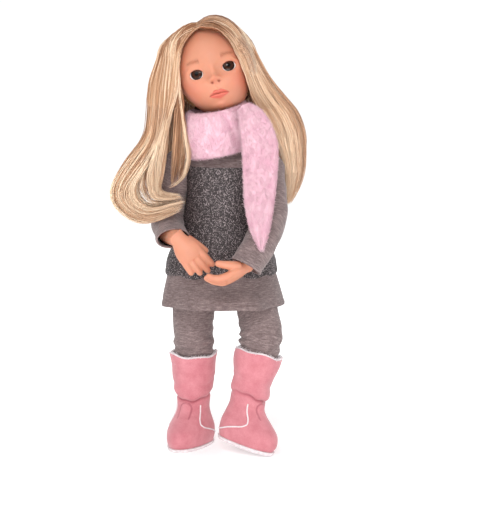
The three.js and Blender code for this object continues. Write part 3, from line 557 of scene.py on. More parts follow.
def lip_relief(x, z):
    taper, line, upper, lower = mouth_lines(x)
    rise = np.clip((z - line) / np.maximum(upper - line, 0.1), 0, 1)
    fall = np.clip((line - z) / np.maximum(line - lower, 0.1), 0, 1)
    swell = LIP["upper"] * np.sin(math.pi * rise) + LIP["lower"] * np.sin(math.pi * fall)
    crease = LIP["crease"] * bell(z, line, LIP["line"]) * taper
    return taper * swell - crease


def mounds(forms, x, z):
    """All mounds of a list together, the same on the right and the left."""
    return sum(height * mound(np.abs(x), z, *spot) for height, *spot in forms.values())


def eye_place(x, z, side):
    """Place across and up from an eye's middle, seen from the front, and its share of the lid opening."""
    u = x * side - EYE_SPOT[0]
    v = z - EYE_SPOT[2]
    tilt = math.radians(OPENING["tilt"])
    along_lid = u * math.cos(tilt) + v * math.sin(tilt)
    over_lid = v * math.cos(tilt) - u * math.sin(tilt)
    high = np.where(over_lid > 0, OPENING["upper"], OPENING["lower"])
    power = OPENING["power"]
    share = (np.abs(along_lid) / OPENING["half"]) ** power + (np.abs(over_lid) / high) ** power
    return u, v, share ** (1 / power), over_lid


def eye_front(u, v):
    inside = 1 - (u / EYE_SIZE[0]) ** 2 - (v / EYE_SIZE[2]) ** 2
    return EYE_SPOT[1] - EYE_SIZE[1] * np.sqrt(np.clip(inside, 0.02, 1)) + EYE_LEAN * u


def face_depth(x, z, front):
    """How far forward the head's skin lies, with the lids drawn over the eyes."""
    weight = smooth_step(front, 0.1, 0.55)
    y = -HEAD_SIZE[1] * front - weight * (mounds(FACE_FORMS, x, z) + lip_relief(x, z))
    for side in SIDES.values():
        u, v, share, over = eye_place(x, z, side)
        near = (1 - smooth_step(share, 1.0, LID_SPREAD)) * (front > FACE_EDGE)
        inward = 1 / np.maximum(share / LID_FLAT, 1)
        y = y + near * (eye_front(u * inward, v * inward) - LID - y)
        fold = LID_FOLD["deep"] * bell(share, LID_FOLD["share"], LID_FOLD["width"])
        y = y + fold * smooth_step(over, 1, 4) * (front > FACE_EDGE)
    return y


def front_share(x, z):
    level = 1 - (z / HEAD_SIZE[2]) ** 2
    return np.sqrt(np.clip(level - (x / (HEAD_SIZE[0] * jaw_share(z))) ** 2, 0, 1))


def brow_strength(u, v):
    """1 on the brow over an eye, which is thick at its inner end."""
    middle = u - BROW["inset"]
    outward = np.clip((middle + BROW["half"]) / (2 * BROW["half"]), 0, 1)
    arch = BROW["up"] + BROW["arch"] * (1 - (middle / BROW["bend"]) ** 2) + BROW["slope"] * middle
    ends = smooth_step(outward, 0, 0.1) * (1 - smooth_step(outward, 0.8, 1))
    return bell(v, arch, BROW["width"] * (1 - 0.5 * outward)) * ends


def face_values(x, z, front):
    """Strength of the lip colour, the painted shade in the lip line, nostrils and lid edges, the brows and
    blush at each point of the face.
    """
    shown = front > FACE_EDGE
    taper, line, upper, lower = mouth_lines(x)
    lips = smooth_step(z, lower - 0.3, lower + 0.7) * (1 - smooth_step(z, upper - 0.7, upper + 0.3))
    lips = 0.8 * lips * smooth_step(taper, 0.05, 0.35)
    # painted shade in the line between the lips and in the nostrils
    dark = 0.5 * bell(z, line, 0.6) * smooth_step(taper, 0.0, 0.3)
    dark = dark + 0.8 * mound(np.abs(x), z, *NOSTRIL, 1.4, 1.1)
    brow = np.zeros_like(x)
    for side in SIDES.values():
        u, v, share, over = eye_place(x, z, side)
        # painted shade along the lid edges, strongest along the upper lid
        dark = np.maximum(dark, bell(share, 1, 0.08) * (0.25 + 0.45 * (over > 0)))
        brow = brow + brow_strength(u, v)
    values = {"lips": lips, "dark": np.clip(dark, 0, 0.9), "brow": np.clip(brow, 0, 1)}
    values["blush"] = mounds(BLUSHES, x, z)
    return {key: value * shown for key, value in values.items()}


def head_skin():
    """The face and skull, with points gathered at the front and openings for the eyes."""
    down, across = GRID["skull"]
    turn = ring_angles(across)[None, :]
    fall = np.linspace(0, math.pi, down + 2)[1:-1, None]
    angle = turn - GATHER * np.cos(turn)
    z = HEAD_SIZE[2] * np.cos(fall) + 0 * angle
    x = HEAD_SIZE[0] * np.sin(fall) * np.cos(angle) * jaw_share(z)
    front = -np.sin(angle) * np.sin(fall)
    faces = np.array(grid_faces(down, across))
    for side in SIDES.values():
        share = np.where(front > FACE_EDGE, eye_place(x, z, side)[2], OUTSIDE).ravel()
        faces = faces[~(share[faces] < 1).all(axis=1)]
        inside = (share < 1).reshape(x.shape)
        scale = np.where(inside, 1 / np.maximum(share.reshape(x.shape), 0.05), 1)
        x = np.where(inside, side * EYE_SPOT[0] + (x - side * EYE_SPOT[0]) * scale, x)
        z = np.where(inside, EYE_SPOT[2] + (z - EYE_SPOT[2]) * scale, z)
        front = np.where(inside, front_share(x, z), front)
    y = face_depth(x, z, front)
    points = np.stack([x, y, z], -1)
    listed = faces.tolist()
    listed.append(list(range(across))[::-1])
    listed.append(list(range((down - 1) * across, down * across)))
    skin = piece("head_skin", points, listed, FACE, FACE_FRAME, face_values(x, z, front))
    turn_in_lids(skin)
    return skin


def turn_in_lids(skin):
    """Drops loose points and turns the edges of the lid openings inward."""
    mesh = bmesh.new()
    mesh.from_mesh(skin.data)
    bmesh.ops.delete(mesh, geom=[v for v in mesh.verts if not v.link_faces], context="VERTS")
    edges = [e for e in mesh.edges if e.is_boundary]
    grown = bmesh.ops.extrude_edge_only(mesh, edges=edges)
    inward = (FACE_FRAME.to_3x3() @ Vector((0, 1, 0))).normalized() * LID_DEPTH * MM
    for v in grown["geom"]:
        if isinstance(v, bmesh.types.BMVert):
            v.co += inward
    bmesh.ops.recalc_face_normals(mesh, faces=mesh.faces[:])
    for face in mesh.faces:
        face.smooth = True
    mesh.to_mesh(skin.data)
    mesh.free()


def eyeball(name, side):
    rows, columns = GRID["eye"]
    polar = np.linspace(0.02, math.pi - 0.02, rows)[:, None]
    angle = ring_angles(columns)[None, :]
    u = EYE_SIZE[0] * np.sin(polar) * np.cos(angle)
    v = EYE_SIZE[2] * np.sin(polar) * np.sin(angle)
    y = EYE_SPOT[1] - EYE_SIZE[1] * np.cos(polar) + EYE_LEAN * u
    points = np.stack([side * (EYE_SPOT[0] + u), y, EYE_SPOT[2] + v], -1)
    away = np.hypot(u + IRIS["inward"], v - IRIS["up"]) / 10
    away = np.where(polar < math.pi / 2, away, 1)
    ball = lofted(f"eyeball_{name}", points, EYE_GLASS, FACE_FRAME, (True, True), {"away": away})
    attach(ball, "head")
    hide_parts(f"eye_{name}", f"iris_{name}")


skin = head_skin()
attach(skin, "head")
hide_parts("head")
for side_name, side_sign in SIDES.items():
    eyeball(side_name, side_sign)


# Hair: strands from the parting over the head and down its sides and back
PARTING = -6  # how far to the right the parting lies
HAIRLINE = [
    (-36, -80), (-38.5, -28), (-39, -15), (-37.5, -5), (-32.5, 13), (-25, 29), (-14.5, 38), (-6.5, 42),
    (3, 38), (14.5, 32.5), (22, 20), (26.5, 4), (29.5, -12), (32, -26), (33, -40), (34, -80),
]
HAIRLINE_MIDDLE = -8
HAIR_ROOT = 3
ROOT_SHADE = 0.12
STRAND_RADIUS = (0.3, 0.52)
# How far single strands stray from their lock: the first three as shares, the others in millimetres
STRAY = {"across": 0.05, "through": 0.25, "parting": 0.06, "lift": 0.5, "bow": 0.9, "shift": 0.3}
LOCK_LIFT = (1, 5)  # rise of the lowest lock over the crown, and how much more the highest has
SHORTEST = 0.78  # length of the shortest strands as a share of the longest
SOFTENING = 6
SWAY = {"turns": 8, "apart": 6, "way": (1.0, 0.3, 0.1)}
OVER_SKULL = (2, 1.5)  # least height over the skull, and how much more at the edges of a mass
# Tone of the hair: lock, strand, middle and contrast; strands further back in a mass are painted darker by
# behind, a painted shade
TONE = {"lock": 0.65, "strand": 0.35, "behind": 0.3, "middle": 0.58, "contrast": 1.2}
TIP_TAPER = 0.75
# How much paler the strands are painted between two shares of their length: painted shade near the crown and
# a painted highlight further down
PAINTED_PALER = [(0.22, 0.05, 0.45), (0.14, 0.6, 0.85)]
HAIR_CLEAR = 0.5  # strands over the face are moved this far outside the hairline
FACE_FRONT = -8  # the face lies before this depth
FREE_LEVELS = (-64, -40)  # strands hang free below the first level, and are fully moved above the second
SCALP = {"top": 0.03, "end": 2.3, "front": -6, "edge": (0.2, 2.5), "rise": 3.4, "sunk": 1.2, "tone": 0.35}
CROWN_STEPS = 14
HANG_STEPS = 40
PATH_STEPS = 90
PART_STEPS = {2: 22, 3: 16}
# Parts of the hair from the head down: bodies it passes between, and the levels where it does
HAIR_SPANS = [
    ("upper", ("head", "neck_swivel"), 34, 0),
    ("lower", ("neck_swivel", "torso"), 0, -60),
    ("ends", ("torso", "shoulder_swivel_right"), -62, -100),
]
ON_THE_ARM = ("right", "inner", "thin")
RIGHT_GUIDES = [
    [(-48, -25, 58), (-49, -25, 38), (-52, -17, 18), (-58, -17, -2), (-62, -21, -25),
     (-64, -29, -47), (-67, -37, -70), (-70, -43, -88), (-48, -46, -92)],
    [(-62, 7, 58), (-67, 4, 24), (-69, -3, -6), (-74, -16, -34), (-85, -28, -59),
     (-100, -38, -84), (-96, -44, -100), (-78, -46, -108), (-43, -46, -98)],
    [(-73, 24, 60), (-84, 19, 28), (-85, 9, -7), (-88, -5, -31), (-109, -22, -58),
     (-124, -35, -89), (-114, -41, -110), (-86, -44, -124), (-44, -45, -108)],
]
THIN_GUIDES = [
    [(-49, -28, 45), (-51, -21, 17), (-47, -25, -9), (-43, -33, -33), (-40, -41, -51),
     (-44, -47, -68), (-52, -51, -78), (-62, -52, -82)],
    [(-47, -28, 45), (-47, -21, 17), (-43, -25, -9), (-39, -33, -33), (-37, -41, -51),
     (-41, -47, -71), (-51, -51, -81), (-60, -52, -85)],
]
INNER_GUIDES = [
    [(-49, -22, 50), (-50, -18, 20), (-53, -17, 0), (-55, -20, -25), (-56, -26, -48),
     (-57, -33, -68), (-58, -37, -84)],
    [(-47, -22, 50), (-45, -19, 20), (-43, -22, 0), (-42, -27, -25), (-42, -32, -45),
     (-44, -36, -62), (-48, -39, -76)],
]
LEFT_GUIDES = [
    [(13, -36, 60), (21, -34, 44), (27, -26, 26), (33, -9, 10), (44, 3, -6),
     (60, 13, -31), (70, 16, -56), (75, 18, -85), (76, 17, -112)],
    [(25, -4, 61), (37, -1, 38), (49, 5, 14), (63, 13, -3), (74, 17, -24),
     (79, 20, -48), (83, 21, -69), (82, 20, -91), (78, 19, -111)],
    [(35, 20, 66), (52, 19, 37), (71, 21, 14), (85, 21, -3), (94, 23, -29),
     (95, 23, -48), (94, 23, -72), (88, 22, -92), (79, 20, -109)],
]
BACK_GUIDES = [
    [(-64, 22, 50), (-76, 28, 10), (-76, 36, -30), (-68, 42, -75), (-54, 43, -115), (-36, 43, -138)],
    [(-12, 54, 50), (-8, 55, 10), (-4, 50, -30), (0, 48, -80), (0, 46, -125), (0, 45, -146)],
    [(36, 32, 56), (60, 36, 10), (78, 38, -30), (76, 42, -75), (58, 43, -115), (34, 43, -140)],
]


def hair_cap(direction, rise):
    """The point over the skull in a direction from the head's middle, `rise` above the skin."""
    z = direction[..., 2] * (HEAD_SIZE[2] + rise)
    x = direction[..., 0] * (HEAD_SIZE[0] + rise) * jaw_share(z)
    y = direction[..., 1] * (HEAD_SIZE[1] + rise)
    return np.stack([x, y, z], -1)


def hairline_reach(x, z):
    """Distance outside the hairline, seen from the front."""
    line = np.array(HAIRLINE, float)
    angle = np.arctan2(line[:, 1] - HAIRLINE_MIDDLE, line[:, 0])
    angle = np.where(angle < -math.pi / 2, angle + 2 * math.pi, angle)
    order = np.argsort(angle)
    reach = np.hypot(line[:, 0], line[:, 1] - HAIRLINE_MIDDLE)[order]
    here = np.arctan2(z - HAIRLINE_MIDDLE, x)
    here = np.where(here < -math.pi / 2, here + 2 * math.pi, here)
    return np.hypot(x, z - HAIRLINE_MIDDLE) - np.interp(here, angle[order], reach)


def off_the_face(points, rise):
    """Moves strand points that lie over the face out to the hairline, and out of the skull."""
    x, y, z = (points[..., i].copy() for i in range(3))
    reach = hairline_reach(x, z)
    radius = np.hypot(x, z - HAIRLINE_MIDDLE)
    over = (reach < HAIR_CLEAR) & (y < FACE_FRONT)
    push = smooth_step(z, *FREE_LEVELS)
    scale = np.where(over, 1 + push * (HAIR_CLEAR - reach) / np.maximum(radius, 1), 1)
    x = x * scale
    z = HAIRLINE_MIDDLE + (z - HAIRLINE_MIDDLE) * scale
    spot = np.stack([x, y, z], -1)
    depth = np.linalg.norm(spot / (np.array(HEAD_SIZE) + rise[..., None]), axis=-1)
    return np.where((depth < 1)[..., None], spot / np.maximum(depth, 0.2)[..., None], spot)


def hanging_lines(guides, across, depth, hollow):
    """Lines between the guides; in front, below the neck, they part round the hollow of the curl."""
    fall = np.linspace(0, 1, HANG_STEPS)
    table = np.array(guides, float)
    lines = np.stack([along(g, fall) for g in along(table, across)])
    if hollow:
        low, high = hollow
        middle = (low + high) / 2
        outer = high + (across - middle) * (1 - high) / (1 - middle)
        apart = np.where(across < middle, across * low / middle, outer)
        split = np.stack([along(g, fall) for g in along(table, apart)])
        share = smooth_step(fall, 0.35, 0.6)[None, :] * (depth < 0)[:, None]
        lines = lines + share[..., None] * (split - lines)
    return lines


def crown_lines(first, part_y, lift):
    """Lines over the head from the parting to the first points of the hanging hair."""
    size = np.array(HEAD_SIZE, float)
    side = np.sign(first[:, 0] - PARTING)
    root = np.stack([PARTING + 0.5 * side, part_y, 0 * part_y], -1)
    level = np.clip(1 - (root[:, 0] / size[0]) ** 2 - (root[:, 1] / size[1]) ** 2, 0.02, 1)
    root[:, 2] = size[2] * np.sqrt(level)
    t = np.linspace(0, 1, CROWN_STEPS, endpoint=False)[None, :]
    start = unit(root / size)[:, None]
    stop = unit(first / size)[:, None]
    direction = unit((1 - t[..., None]) * start + t[..., None] * stop)
    stop_rise = (np.linalg.norm(first / size, axis=1)[:, None] - 1) * size.mean()
    rise = HAIR_ROOT + (stop_rise - HAIR_ROOT) * smooth_step(t, 0.3, 1)
    rise = rise + lift[:, None] * np.sin(math.pi * t) ** 0.7
    return hair_cap(direction, rise)


def even_points(paths, shares):
    """Points at shares of each path's length, one row of shares per path; further columns follow along."""
    steps = np.linalg.norm(np.diff(paths[..., :3], axis=1), axis=-1)
    run = np.concatenate([np.zeros((len(paths), 1)), np.cumsum(steps, axis=1)], axis=1)
    run = run / run[:, -1:]
    spots = np.empty(shares.shape + paths.shape[2:])
    for index, share in enumerate(shares):
        for column in range(paths.shape[2]):
            spots[index, :, column] = np.interp(share, run[index], paths[index, :, column])
    return spots


def softened(paths, rounds):
    for _ in range(rounds):
        paths[:, 1:-1] = (paths[:, :-2] + 2 * paths[:, 1:-1] + paths[:, 2:]) / 4
    return paths


def strand_lines(guides, across, depth, hollow, parting, lock_lift):
    """Even lines over the head and down, how far each point has fallen, and its share of the length."""
    count = len(across)
    hanging = placed(hanging_lines(guides, across, depth, hollow), HANG)
    first = placed(hanging[:, 0], HEAD.inverted())
    along_part = np.clip(across + rng.normal(0, STRAY["parting"], count), 0, 1)
    part_y = parting[0] + (parting[1] - parting[0]) * along_part
    lift = LOCK_LIFT[0] + LOCK_LIFT[1] * lock_lift + rng.normal(0, STRAY["lift"], count)
    crown = placed(crown_lines(first, part_y, lift), HEAD)
    fall = np.concatenate([np.linspace(-1, 0, CROWN_STEPS, endpoint=False), np.linspace(0, 1, HANG_STEPS)])
    falls = np.repeat(fall[None, :, None], count, axis=0)
    even = rng.uniform(SHORTEST, 1, (count, 1)) * np.linspace(0, 1, PATH_STEPS)[None]
    whole = np.concatenate([np.concatenate([crown, hanging], axis=1), falls], axis=-1)
    spots = even_points(whole, even)
    return softened(spots[..., :3], SOFTENING), spots[..., 3], even


def loosened(path, falls, even, depth, lock_tone, thick, wave):
    """Strands spread through the depth of their mass, waved by locks and strayed one by one."""
    count = len(path)
    away = np.array(TORSO_TURN @ Vector((0, 1, 0)))
    path = path + (smooth_step(falls, -0.6, 0.2) * (depth * thick)[:, None])[..., None] * away
    phase = SWAY["apart"] * lock_tone + rng.uniform(0, 1, count)
    sway = wave * np.sin(SWAY["turns"] * even + phase[:, None]) * smooth_step(falls, -0.2, 0.6)
    path = path + sway[..., None] * np.array(SWAY["way"])
    own = rng.uniform(0, 6.3, (count, 1)) + rng.uniform(6, 14, (count, 1)) * even
    stray = rng.normal(0, STRAY["bow"], (count, 1)) * np.sin(own) * smooth_step(falls, -0.7, 0.3)
    path = path + stray[..., None] * unit(rng.normal(0, 1, (count, 1, 3)))
    return path + rng.normal(0, STRAY["shift"], (count, 1, 3))


def hair_family(guides, count, locks, parting, thick, wave, hollow=None, painted_shading=0):
    """Paths of strands that leave the parting, cross the head and follow the guides, in locks."""
    which = rng.integers(0, locks, count)
    lock = {key: rng.uniform(0, 1, locks)[which] for key in ("across", "depth", "tone", "lift")}
    across = np.clip(lock["across"] + rng.normal(0, STRAY["across"], count), 0, 1)
    depth = np.clip(2 * lock["depth"] - 1 + rng.normal(0, STRAY["through"], count), -1, 1)
    path, falls, even = strand_lines(guides, across, depth, hollow, parting, lock["lift"])
    path = loosened(path, falls, even, depth, lock["tone"], thick, wave)
    rise = np.repeat(OVER_SKULL[0] + OVER_SKULL[1] * np.abs(depth)[:, None], PATH_STEPS, axis=1)
    path = placed(off_the_face(placed(path, HEAD.inverted()), rise), HEAD)
    tone = TONE["lock"] * lock["tone"] + TONE["strand"] * rng.uniform(0, 1, count)
    # strands further back in the mass are painted darker: painted shade
    tone = tone - TONE["behind"] * smooth_step(depth, -0.3, 1)
    # the mass's painted shading is added to the tone
    return path, TONE["middle"] + TONE["contrast"] * (tone - 0.5) + painted_shading


def build_strands(name, path, tone):
    """Meshes of one mass of hair, cut at the levels where it passes from one body to the next."""
    count = len(path)
    level = placed(path, HANG.inverted())[..., 2]
    thick = rng.uniform(*STRAND_RADIUS, (count, 1))
    spans = HAIR_SPANS[: 3 if name in ON_THE_ARM else 2]
    steps = np.linspace(0, 1, PART_STEPS[len(spans)])[None, :]
    begin = np.zeros((count, 1))
    for index, (part, bodies, high, low) in enumerate(spans):
        stop = np.ones((count, 1))
        if index + 1 < len(spans):
            stop = 1 - np.argmax(level[:, ::-1] > low, axis=1)[:, None] / (PATH_STEPS - 1)
        shares = begin + (stop - begin) * steps
        spots = even_points(path, shares)
        taper = (1 - TIP_TAPER * shares**4) * smooth_step(shares, -0.03, 0.03)
        # painted shade at the roots, painted highlight lower down the strands
        painted_paler = sum(gain * smooth_step(shares, first, last) for gain, first, last in PAINTED_PALER)
        tones = np.clip(tone[:, None] + painted_paler - ROOT_SHADE, 0, 1)
        made = strands(f"hair_{name}_{part}", spots, thick * taper, HAIR, {"tone": tones})
        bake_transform(made)
        begin = stop


def scalp():
    """A dark brown sheet close to the skull outside the hairline: painted shade where the skull shows between
    the strands.
    """
    rows, columns = GRID["scalp"]
    fall = np.linspace(SCALP["top"], SCALP["end"], rows)[:, None]
    angle = ring_angles(columns)[None, :]
    direction = np.stack(
        [np.sin(fall) * np.cos(angle), np.sin(fall) * np.sin(angle), np.cos(fall) + 0 * angle], -1
    )
    skin_points = hair_cap(direction, 0)
    reach = hairline_reach(skin_points[..., 0], skin_points[..., 2])
    shown = np.where(skin_points[..., 1] < SCALP["front"], smooth_step(reach, *SCALP["edge"]), 1)
    points = skin_points + unit(skin_points) * (SCALP["rise"] * shown - SCALP["sunk"])[..., None]
    faces = np.array(grid_faces(rows, columns))
    faces = faces[shown.ravel()[faces].max(axis=1) > 0].tolist()
    faces.append(list(range(columns))[::-1])
    tone = np.full(points.shape[:2], SCALP["tone"])
    return piece("scalp", points, faces, SHADE_UNDER_HAIR, HEAD, {"tone": tone})


# Each mass: strands and locks, the stretch of parting it leaves from, half depth, wave, hollow and painted
# shading, darker where the mass lies in shade and paler where it catches the light
HAIR_FAMILIES = {
    "right": dict(
        guides=RIGHT_GUIDES, count=2000, locks=90, parting=(-38, 10), thick=9, wave=1.6, hollow=(0.24, 0.46)
    ),
    "left": dict(guides=LEFT_GUIDES, count=1800, locks=80, parting=(-38, 14), thick=9, wave=1.6, painted_shading=-0.05),
    "back": dict(guides=BACK_GUIDES, count=1700, locks=60, parting=(4, 44), thick=5, wave=1.4),
    "thin": dict(guides=THIN_GUIDES, count=90, locks=6, parting=(-36, -30), thick=2.5, wave=0.6, painted_shading=0.1),
    "inner": dict(
        # the inner mass lies in shadow and is painted much darker: painted shadow
        guides=INNER_GUIDES, count=420, locks=20, parting=(-34, -10), thick=4, wave=0.8, painted_shading=-0.45
    ),
}


def build_hair():
    for name, facts in HAIR_FAMILIES.items():
        build_strands(name, *hair_family(**facts))
    cap = scalp()
    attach(cap, "head")
    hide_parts("hair_crown", "hair_right", "hair_left", "hair_back")


build_hair()


# Scarf: a plush loop round the neck and a tail that hangs down the front
SCARF = {
    "x": -7.5, "y": 2, "z": 163, "half": 32.5, "depth": 37,
    "high": 25, "thick": 6.5, "flare": 2, "rise": 6, "sag": 4,
}
TAIL = [
    (22, -40, 190, 7, 4.5),
    (32, -49, 176, 15, 6),
    (40, -53, 150, 19, 6.5),
    (41, -55, 115, 18, 6.5),
    (40, -66, 88, 15.5, 6),
    (40.5, -78, 62, 10.5, 5),
    (42, -86, 40, 2, 2),
]
FUR = {"length": 4.2, "thick": 0.14, "scatter": 0.7, "sunk": 0.6, "spread": 0.22}
# Least and greatest length, width and tone of the plush hairs, as shares
FUR_RANGES = {"length": (0.55, 1.15), "width": (0.7, 1.2), "tone": (0.6, 0.95)}
# Width and tone at the root, middle and tip of a plush hair, as shares; the darker root is painted shade in
# the pile
FUR_TAPER = [[1.0, 0.8, 0.12]]
FUR_SHADE_TONES = [[0.7, 0.95, 1.15]]
# How far the middle and the tip of a plush hair reach out and along, as shares of its length
FUR_MIDDLE = (0.32, 0.3)
FUR_TIP = (0.4, 0.9)
LOOP_FUR = 42000
TAIL_FUR = 32000
PLUSH_BASE_SHADE = 0.45  # tone of the plush between the hairs, darker than the tips: painted shade in the pile
COMB = (0.15, 0, -1)  # way the plush hairs lie


def scarf_rings():
    around, sides = GRID["loop"]
    turn = ring_angles(around)[:, None]
    angle = ring_angles(sides)[None, :]
    front = np.maximum(0, -np.sin(turn))
    crease = bell(turn, 5.75, 0.22) + 0.6 * bell(turn, 5.2 - 0.3 * np.sin(angle), 0.12)
    soft = 0.8 * np.sin(5 * turn + 2 * angle) + 0.6 * np.sin(9 * turn - angle)
    thick = SCARF["thick"] + soft * 0.5 - 4.0 * crease
    height = SCARF["z"] + SCARF["rise"] * np.cos(turn) - SCARF["sag"] * front
    up = SCARF["high"] * np.sign(np.sin(angle)) * np.abs(np.sin(angle)) ** 0.9
    away = thick * np.cos(angle) - SCARF["flare"] * np.sin(angle)
    x = SCARF["x"] + (SCARF["half"] + away) * np.cos(turn)
    y = SCARF["y"] + (SCARF["depth"] + away) * np.sin(turn)
    return np.stack([x, y, height + up], -1)


def tail_folds(angle, share):
    return 0.5 * np.sin(5 * angle + 3 * share)


def fur(name, base, count, comb, look, length=FUR["length"], thick=FUR["thick"]):
    """Short soft spikes on a surface, combed along a direction."""
    centres, normals, areas = surface_of(base)
    picked = rng.choice(len(areas), count, p=areas / areas.sum())
    normal = normals[picked]
    root = centres[picked] + rng.normal(0, FUR["scatter"], (count, 3)) - FUR["sunk"] * normal
    flow = np.asarray(comb, float) + rng.normal(0, FUR["spread"], (count, 3))
    flow = unit(flow - (flow * normal).sum(axis=1, keepdims=True) * normal)
    reach = length * rng.uniform(*FUR_RANGES["length"], (count, 1))
    middle, tip = (root + reach * (out * normal + on * flow) for out, on in (FUR_MIDDLE, FUR_TIP))
    paths = np.stack([root, middle, tip], axis=1)
    radius = thick * rng.uniform(*FUR_RANGES["width"], (count, 1)) * np.array(FUR_TAPER)
    tone = rng.uniform(*FUR_RANGES["tone"], (count, 1)) * np.array(FUR_SHADE_TONES)
    return strands(name, paths, radius, look, {"tip": tone})


def build_scarf():
    rings = scarf_rings()
    around, sides = rings.shape[:2]
    faces = (np.array(grid_faces(around + 1, sides)) % (around * sides)).tolist()
    tone = {"tip": np.full((around, sides), PLUSH_BASE_SHADE)}
    loop = piece("plush_loop", rings, faces, PINK_PLUSH, TORSO, tone)
    rings = swept(TAIL, (0, -1, 0), *GRID["tail"], tail_folds)
    tone = {"tip": np.full(rings.shape[:2], PLUSH_BASE_SHADE)}
    tail = lofted("plush_tail", rings, PINK_PLUSH, TORSO, (True, True), tone)
    down = np.array(TORSO_TURN @ Vector(COMB))
    loop_fur = fur("plush_loop_fur", loop, LOOP_FUR, down, PINK_PLUSH)
    tail_fur = fur("plush_tail_fur", tail, TAIL_FUR, down, PINK_PLUSH)
    for made, node_name in ((loop, "scarf_loop"), (tail, "scarf_tail")):
        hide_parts(node_name)
    for made in (loop, loop_fur):
        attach(made, "torso")
    for made in (tail, tail_fur):
        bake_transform(made)


build_scarf()


# Tunic
YOKE_FORM = [
    (121.5, 44, 30, 30, 0, 1),
    (130, 40.5, 25.5, 26, 0, 2),
    (137, 29, 21.5, 22, 0, 4),
    (142, 22.5, 19.5, 20, 0, 5),
]
BODICE_FORM = [
    (-1, 62.5, 45, 39.5, -1, 0),
    (14, 62, 44, 39.5, -1, 0),
    (40, 52.5, 41, 38, 0, 0),
    (70, 43.5, 36.5, 33.5, 0, 0),
    (100, 41.5, 33, 31.5, 0, 0),
    (122, 44.4, 30.6, 30.6, 0, 1),
]
SKIRT_FORM = [
    (-39, 71, 69, 41, 0, -2),
    (-28, 68.8, 64.5, 41, 0, -2),
    (-12, 65.2, 53.4, 40.4, 0, -1),
    (4, 61, 43.4, 38.6, -1, 0),
]
SEAT_FORM = [(-11, 59.2, 40.8, 36), (4, 58.4, 40.4, 36.8), (22, 52.4, 37.8, 36.4), (45, 47, 37, 35)]
KNIT = 1.6
BODICE_EDGE = 2.4
BODICE_DIP = 4.5  # how far the bodice's edge hangs down in front and behind
BODICE_SIDES = 3  # how much less it does at the sides
BODICE_HEM_ROWS = 10
HEM_LIFT = 7
SKIRT_HEM_ROWS = 24
# Flat sizes of the cloths in metres, round by along
FLAT = {
    "yoke": (0.2, 0.024),
    "bodice": (0.3, 0.14),
    "skirt_half": (0.185, 0.055),
    "seat": (0.29, 0.056),
    "sleeve": ((0.105, 0.064), (0.112, 0.098)),
    "trouser": ((0.154, 0.064), (0.14, 0.064)),
}


def turn_in(rings, rows, wall=KNIT, last=True):
    """Adds the inside of a cloth edge: rings that go back in from the last or first ring."""
    ordered = rings if last else rings[::-1]
    edge = ordered[-rows:][::-1]
    middle = edge.mean(axis=1, keepdims=True)
    radius = np.linalg.norm(edge - middle, axis=-1, keepdims=True)
    inner = middle + (edge - middle) * (1 - wall / radius)
    whole = np.concatenate([ordered, inner])
    return whole if last else whole[::-1]


def bodice_folds(angle, share, height):
    edge = bell(height, 1, 4.5)
    wave = 0.8 * np.sin(6 * angle + 1) + 0.5 * np.sin(11 * angle)
    drape = smooth_step(-height, -60, 0)
    return 1.6 * edge + 0.9 * drape * wave + 0.4 * np.sin(height / 9 + 3 * np.sin(2 * angle))


def skirt_folds(angle, share, height):
    low = 1 - share
    pleats = 1.6 * np.cos(7 * angle + 0.6) + 0.9 * np.sin(11 * angle + 2 + 0.05 * height)
    diagonal = 0.9 * np.sin(5 * angle + height / 7)
    hem = 0.5 * bell(height, -36, 2) - 0.4 * bell(height, -31.5, 0.7)
    return low * (pleats + diagonal) + hem


def torso_cloth(name, rings, look, node_name):
    """A cloth that is drawn close round the torso."""
    made = lofted(name, rings, look, TORSO, values={"down": run_length(rings)})
    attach(made, "torso")
    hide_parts(node_name)


def skirt_halves(rings):
    """The skirt in two halves."""
    rows, columns = rings.shape[:2]
    down = run_length(rings)
    for name, side in SIDES.items():
        first = columns // 4 if side < 0 else 3 * columns // 4
        picked = (first + np.arange(columns // 2 + 1)) % columns
        half = rings[:, picked]
        faces = grid_faces(rows, len(picked), wrap=False)
        made = piece(f"skirt_cloth_{name}", half, faces, SHADED_TUNIC_JERSEY, TORSO, {"down": down[:, picked]})
        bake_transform(made)
        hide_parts("tunic_skirt")


def build_tunic():
    yoke = upright(YOKE_FORM, *GRID["yoke"])
    torso_cloth("yoke_cloth", yoke, SHADED_TUNIC_JERSEY, "tunic_yoke")
    bodice = upright(BODICE_FORM, *GRID["bodice"], bodice_folds)
    angle = ring_angles(bodice.shape[1])[None, :]
    low = smooth_step(-bodice[..., 2], -30, 1)
    bodice[..., 2] += low * (-BODICE_DIP + BODICE_SIDES * np.abs(np.cos(angle)) + np.sin(5 * angle + 1))
    bodice = turn_in(bodice, BODICE_HEM_ROWS, BODICE_EDGE, last=False)
    torso_cloth("bodice_cloth", bodice, GLITTER, "tunic_bodice")
    skirt = upright(SKIRT_FORM, *GRID["skirt"], skirt_folds)
    front = np.maximum(0, -np.sin(ring_angles(skirt.shape[1])))[None, :]
    skirt[..., 2] += HEM_LIFT * front * smooth_step(-skirt[..., 2], -4, 39)
    skirt_halves(turn_in(skirt, SKIRT_HEM_ROWS, KNIT, last=False))
    seat = upright(SEAT_FORM, *GRID["seat"])
    torso_cloth("seat_cloth", seat, JERSEY, "trousers_seat")


build_tunic()


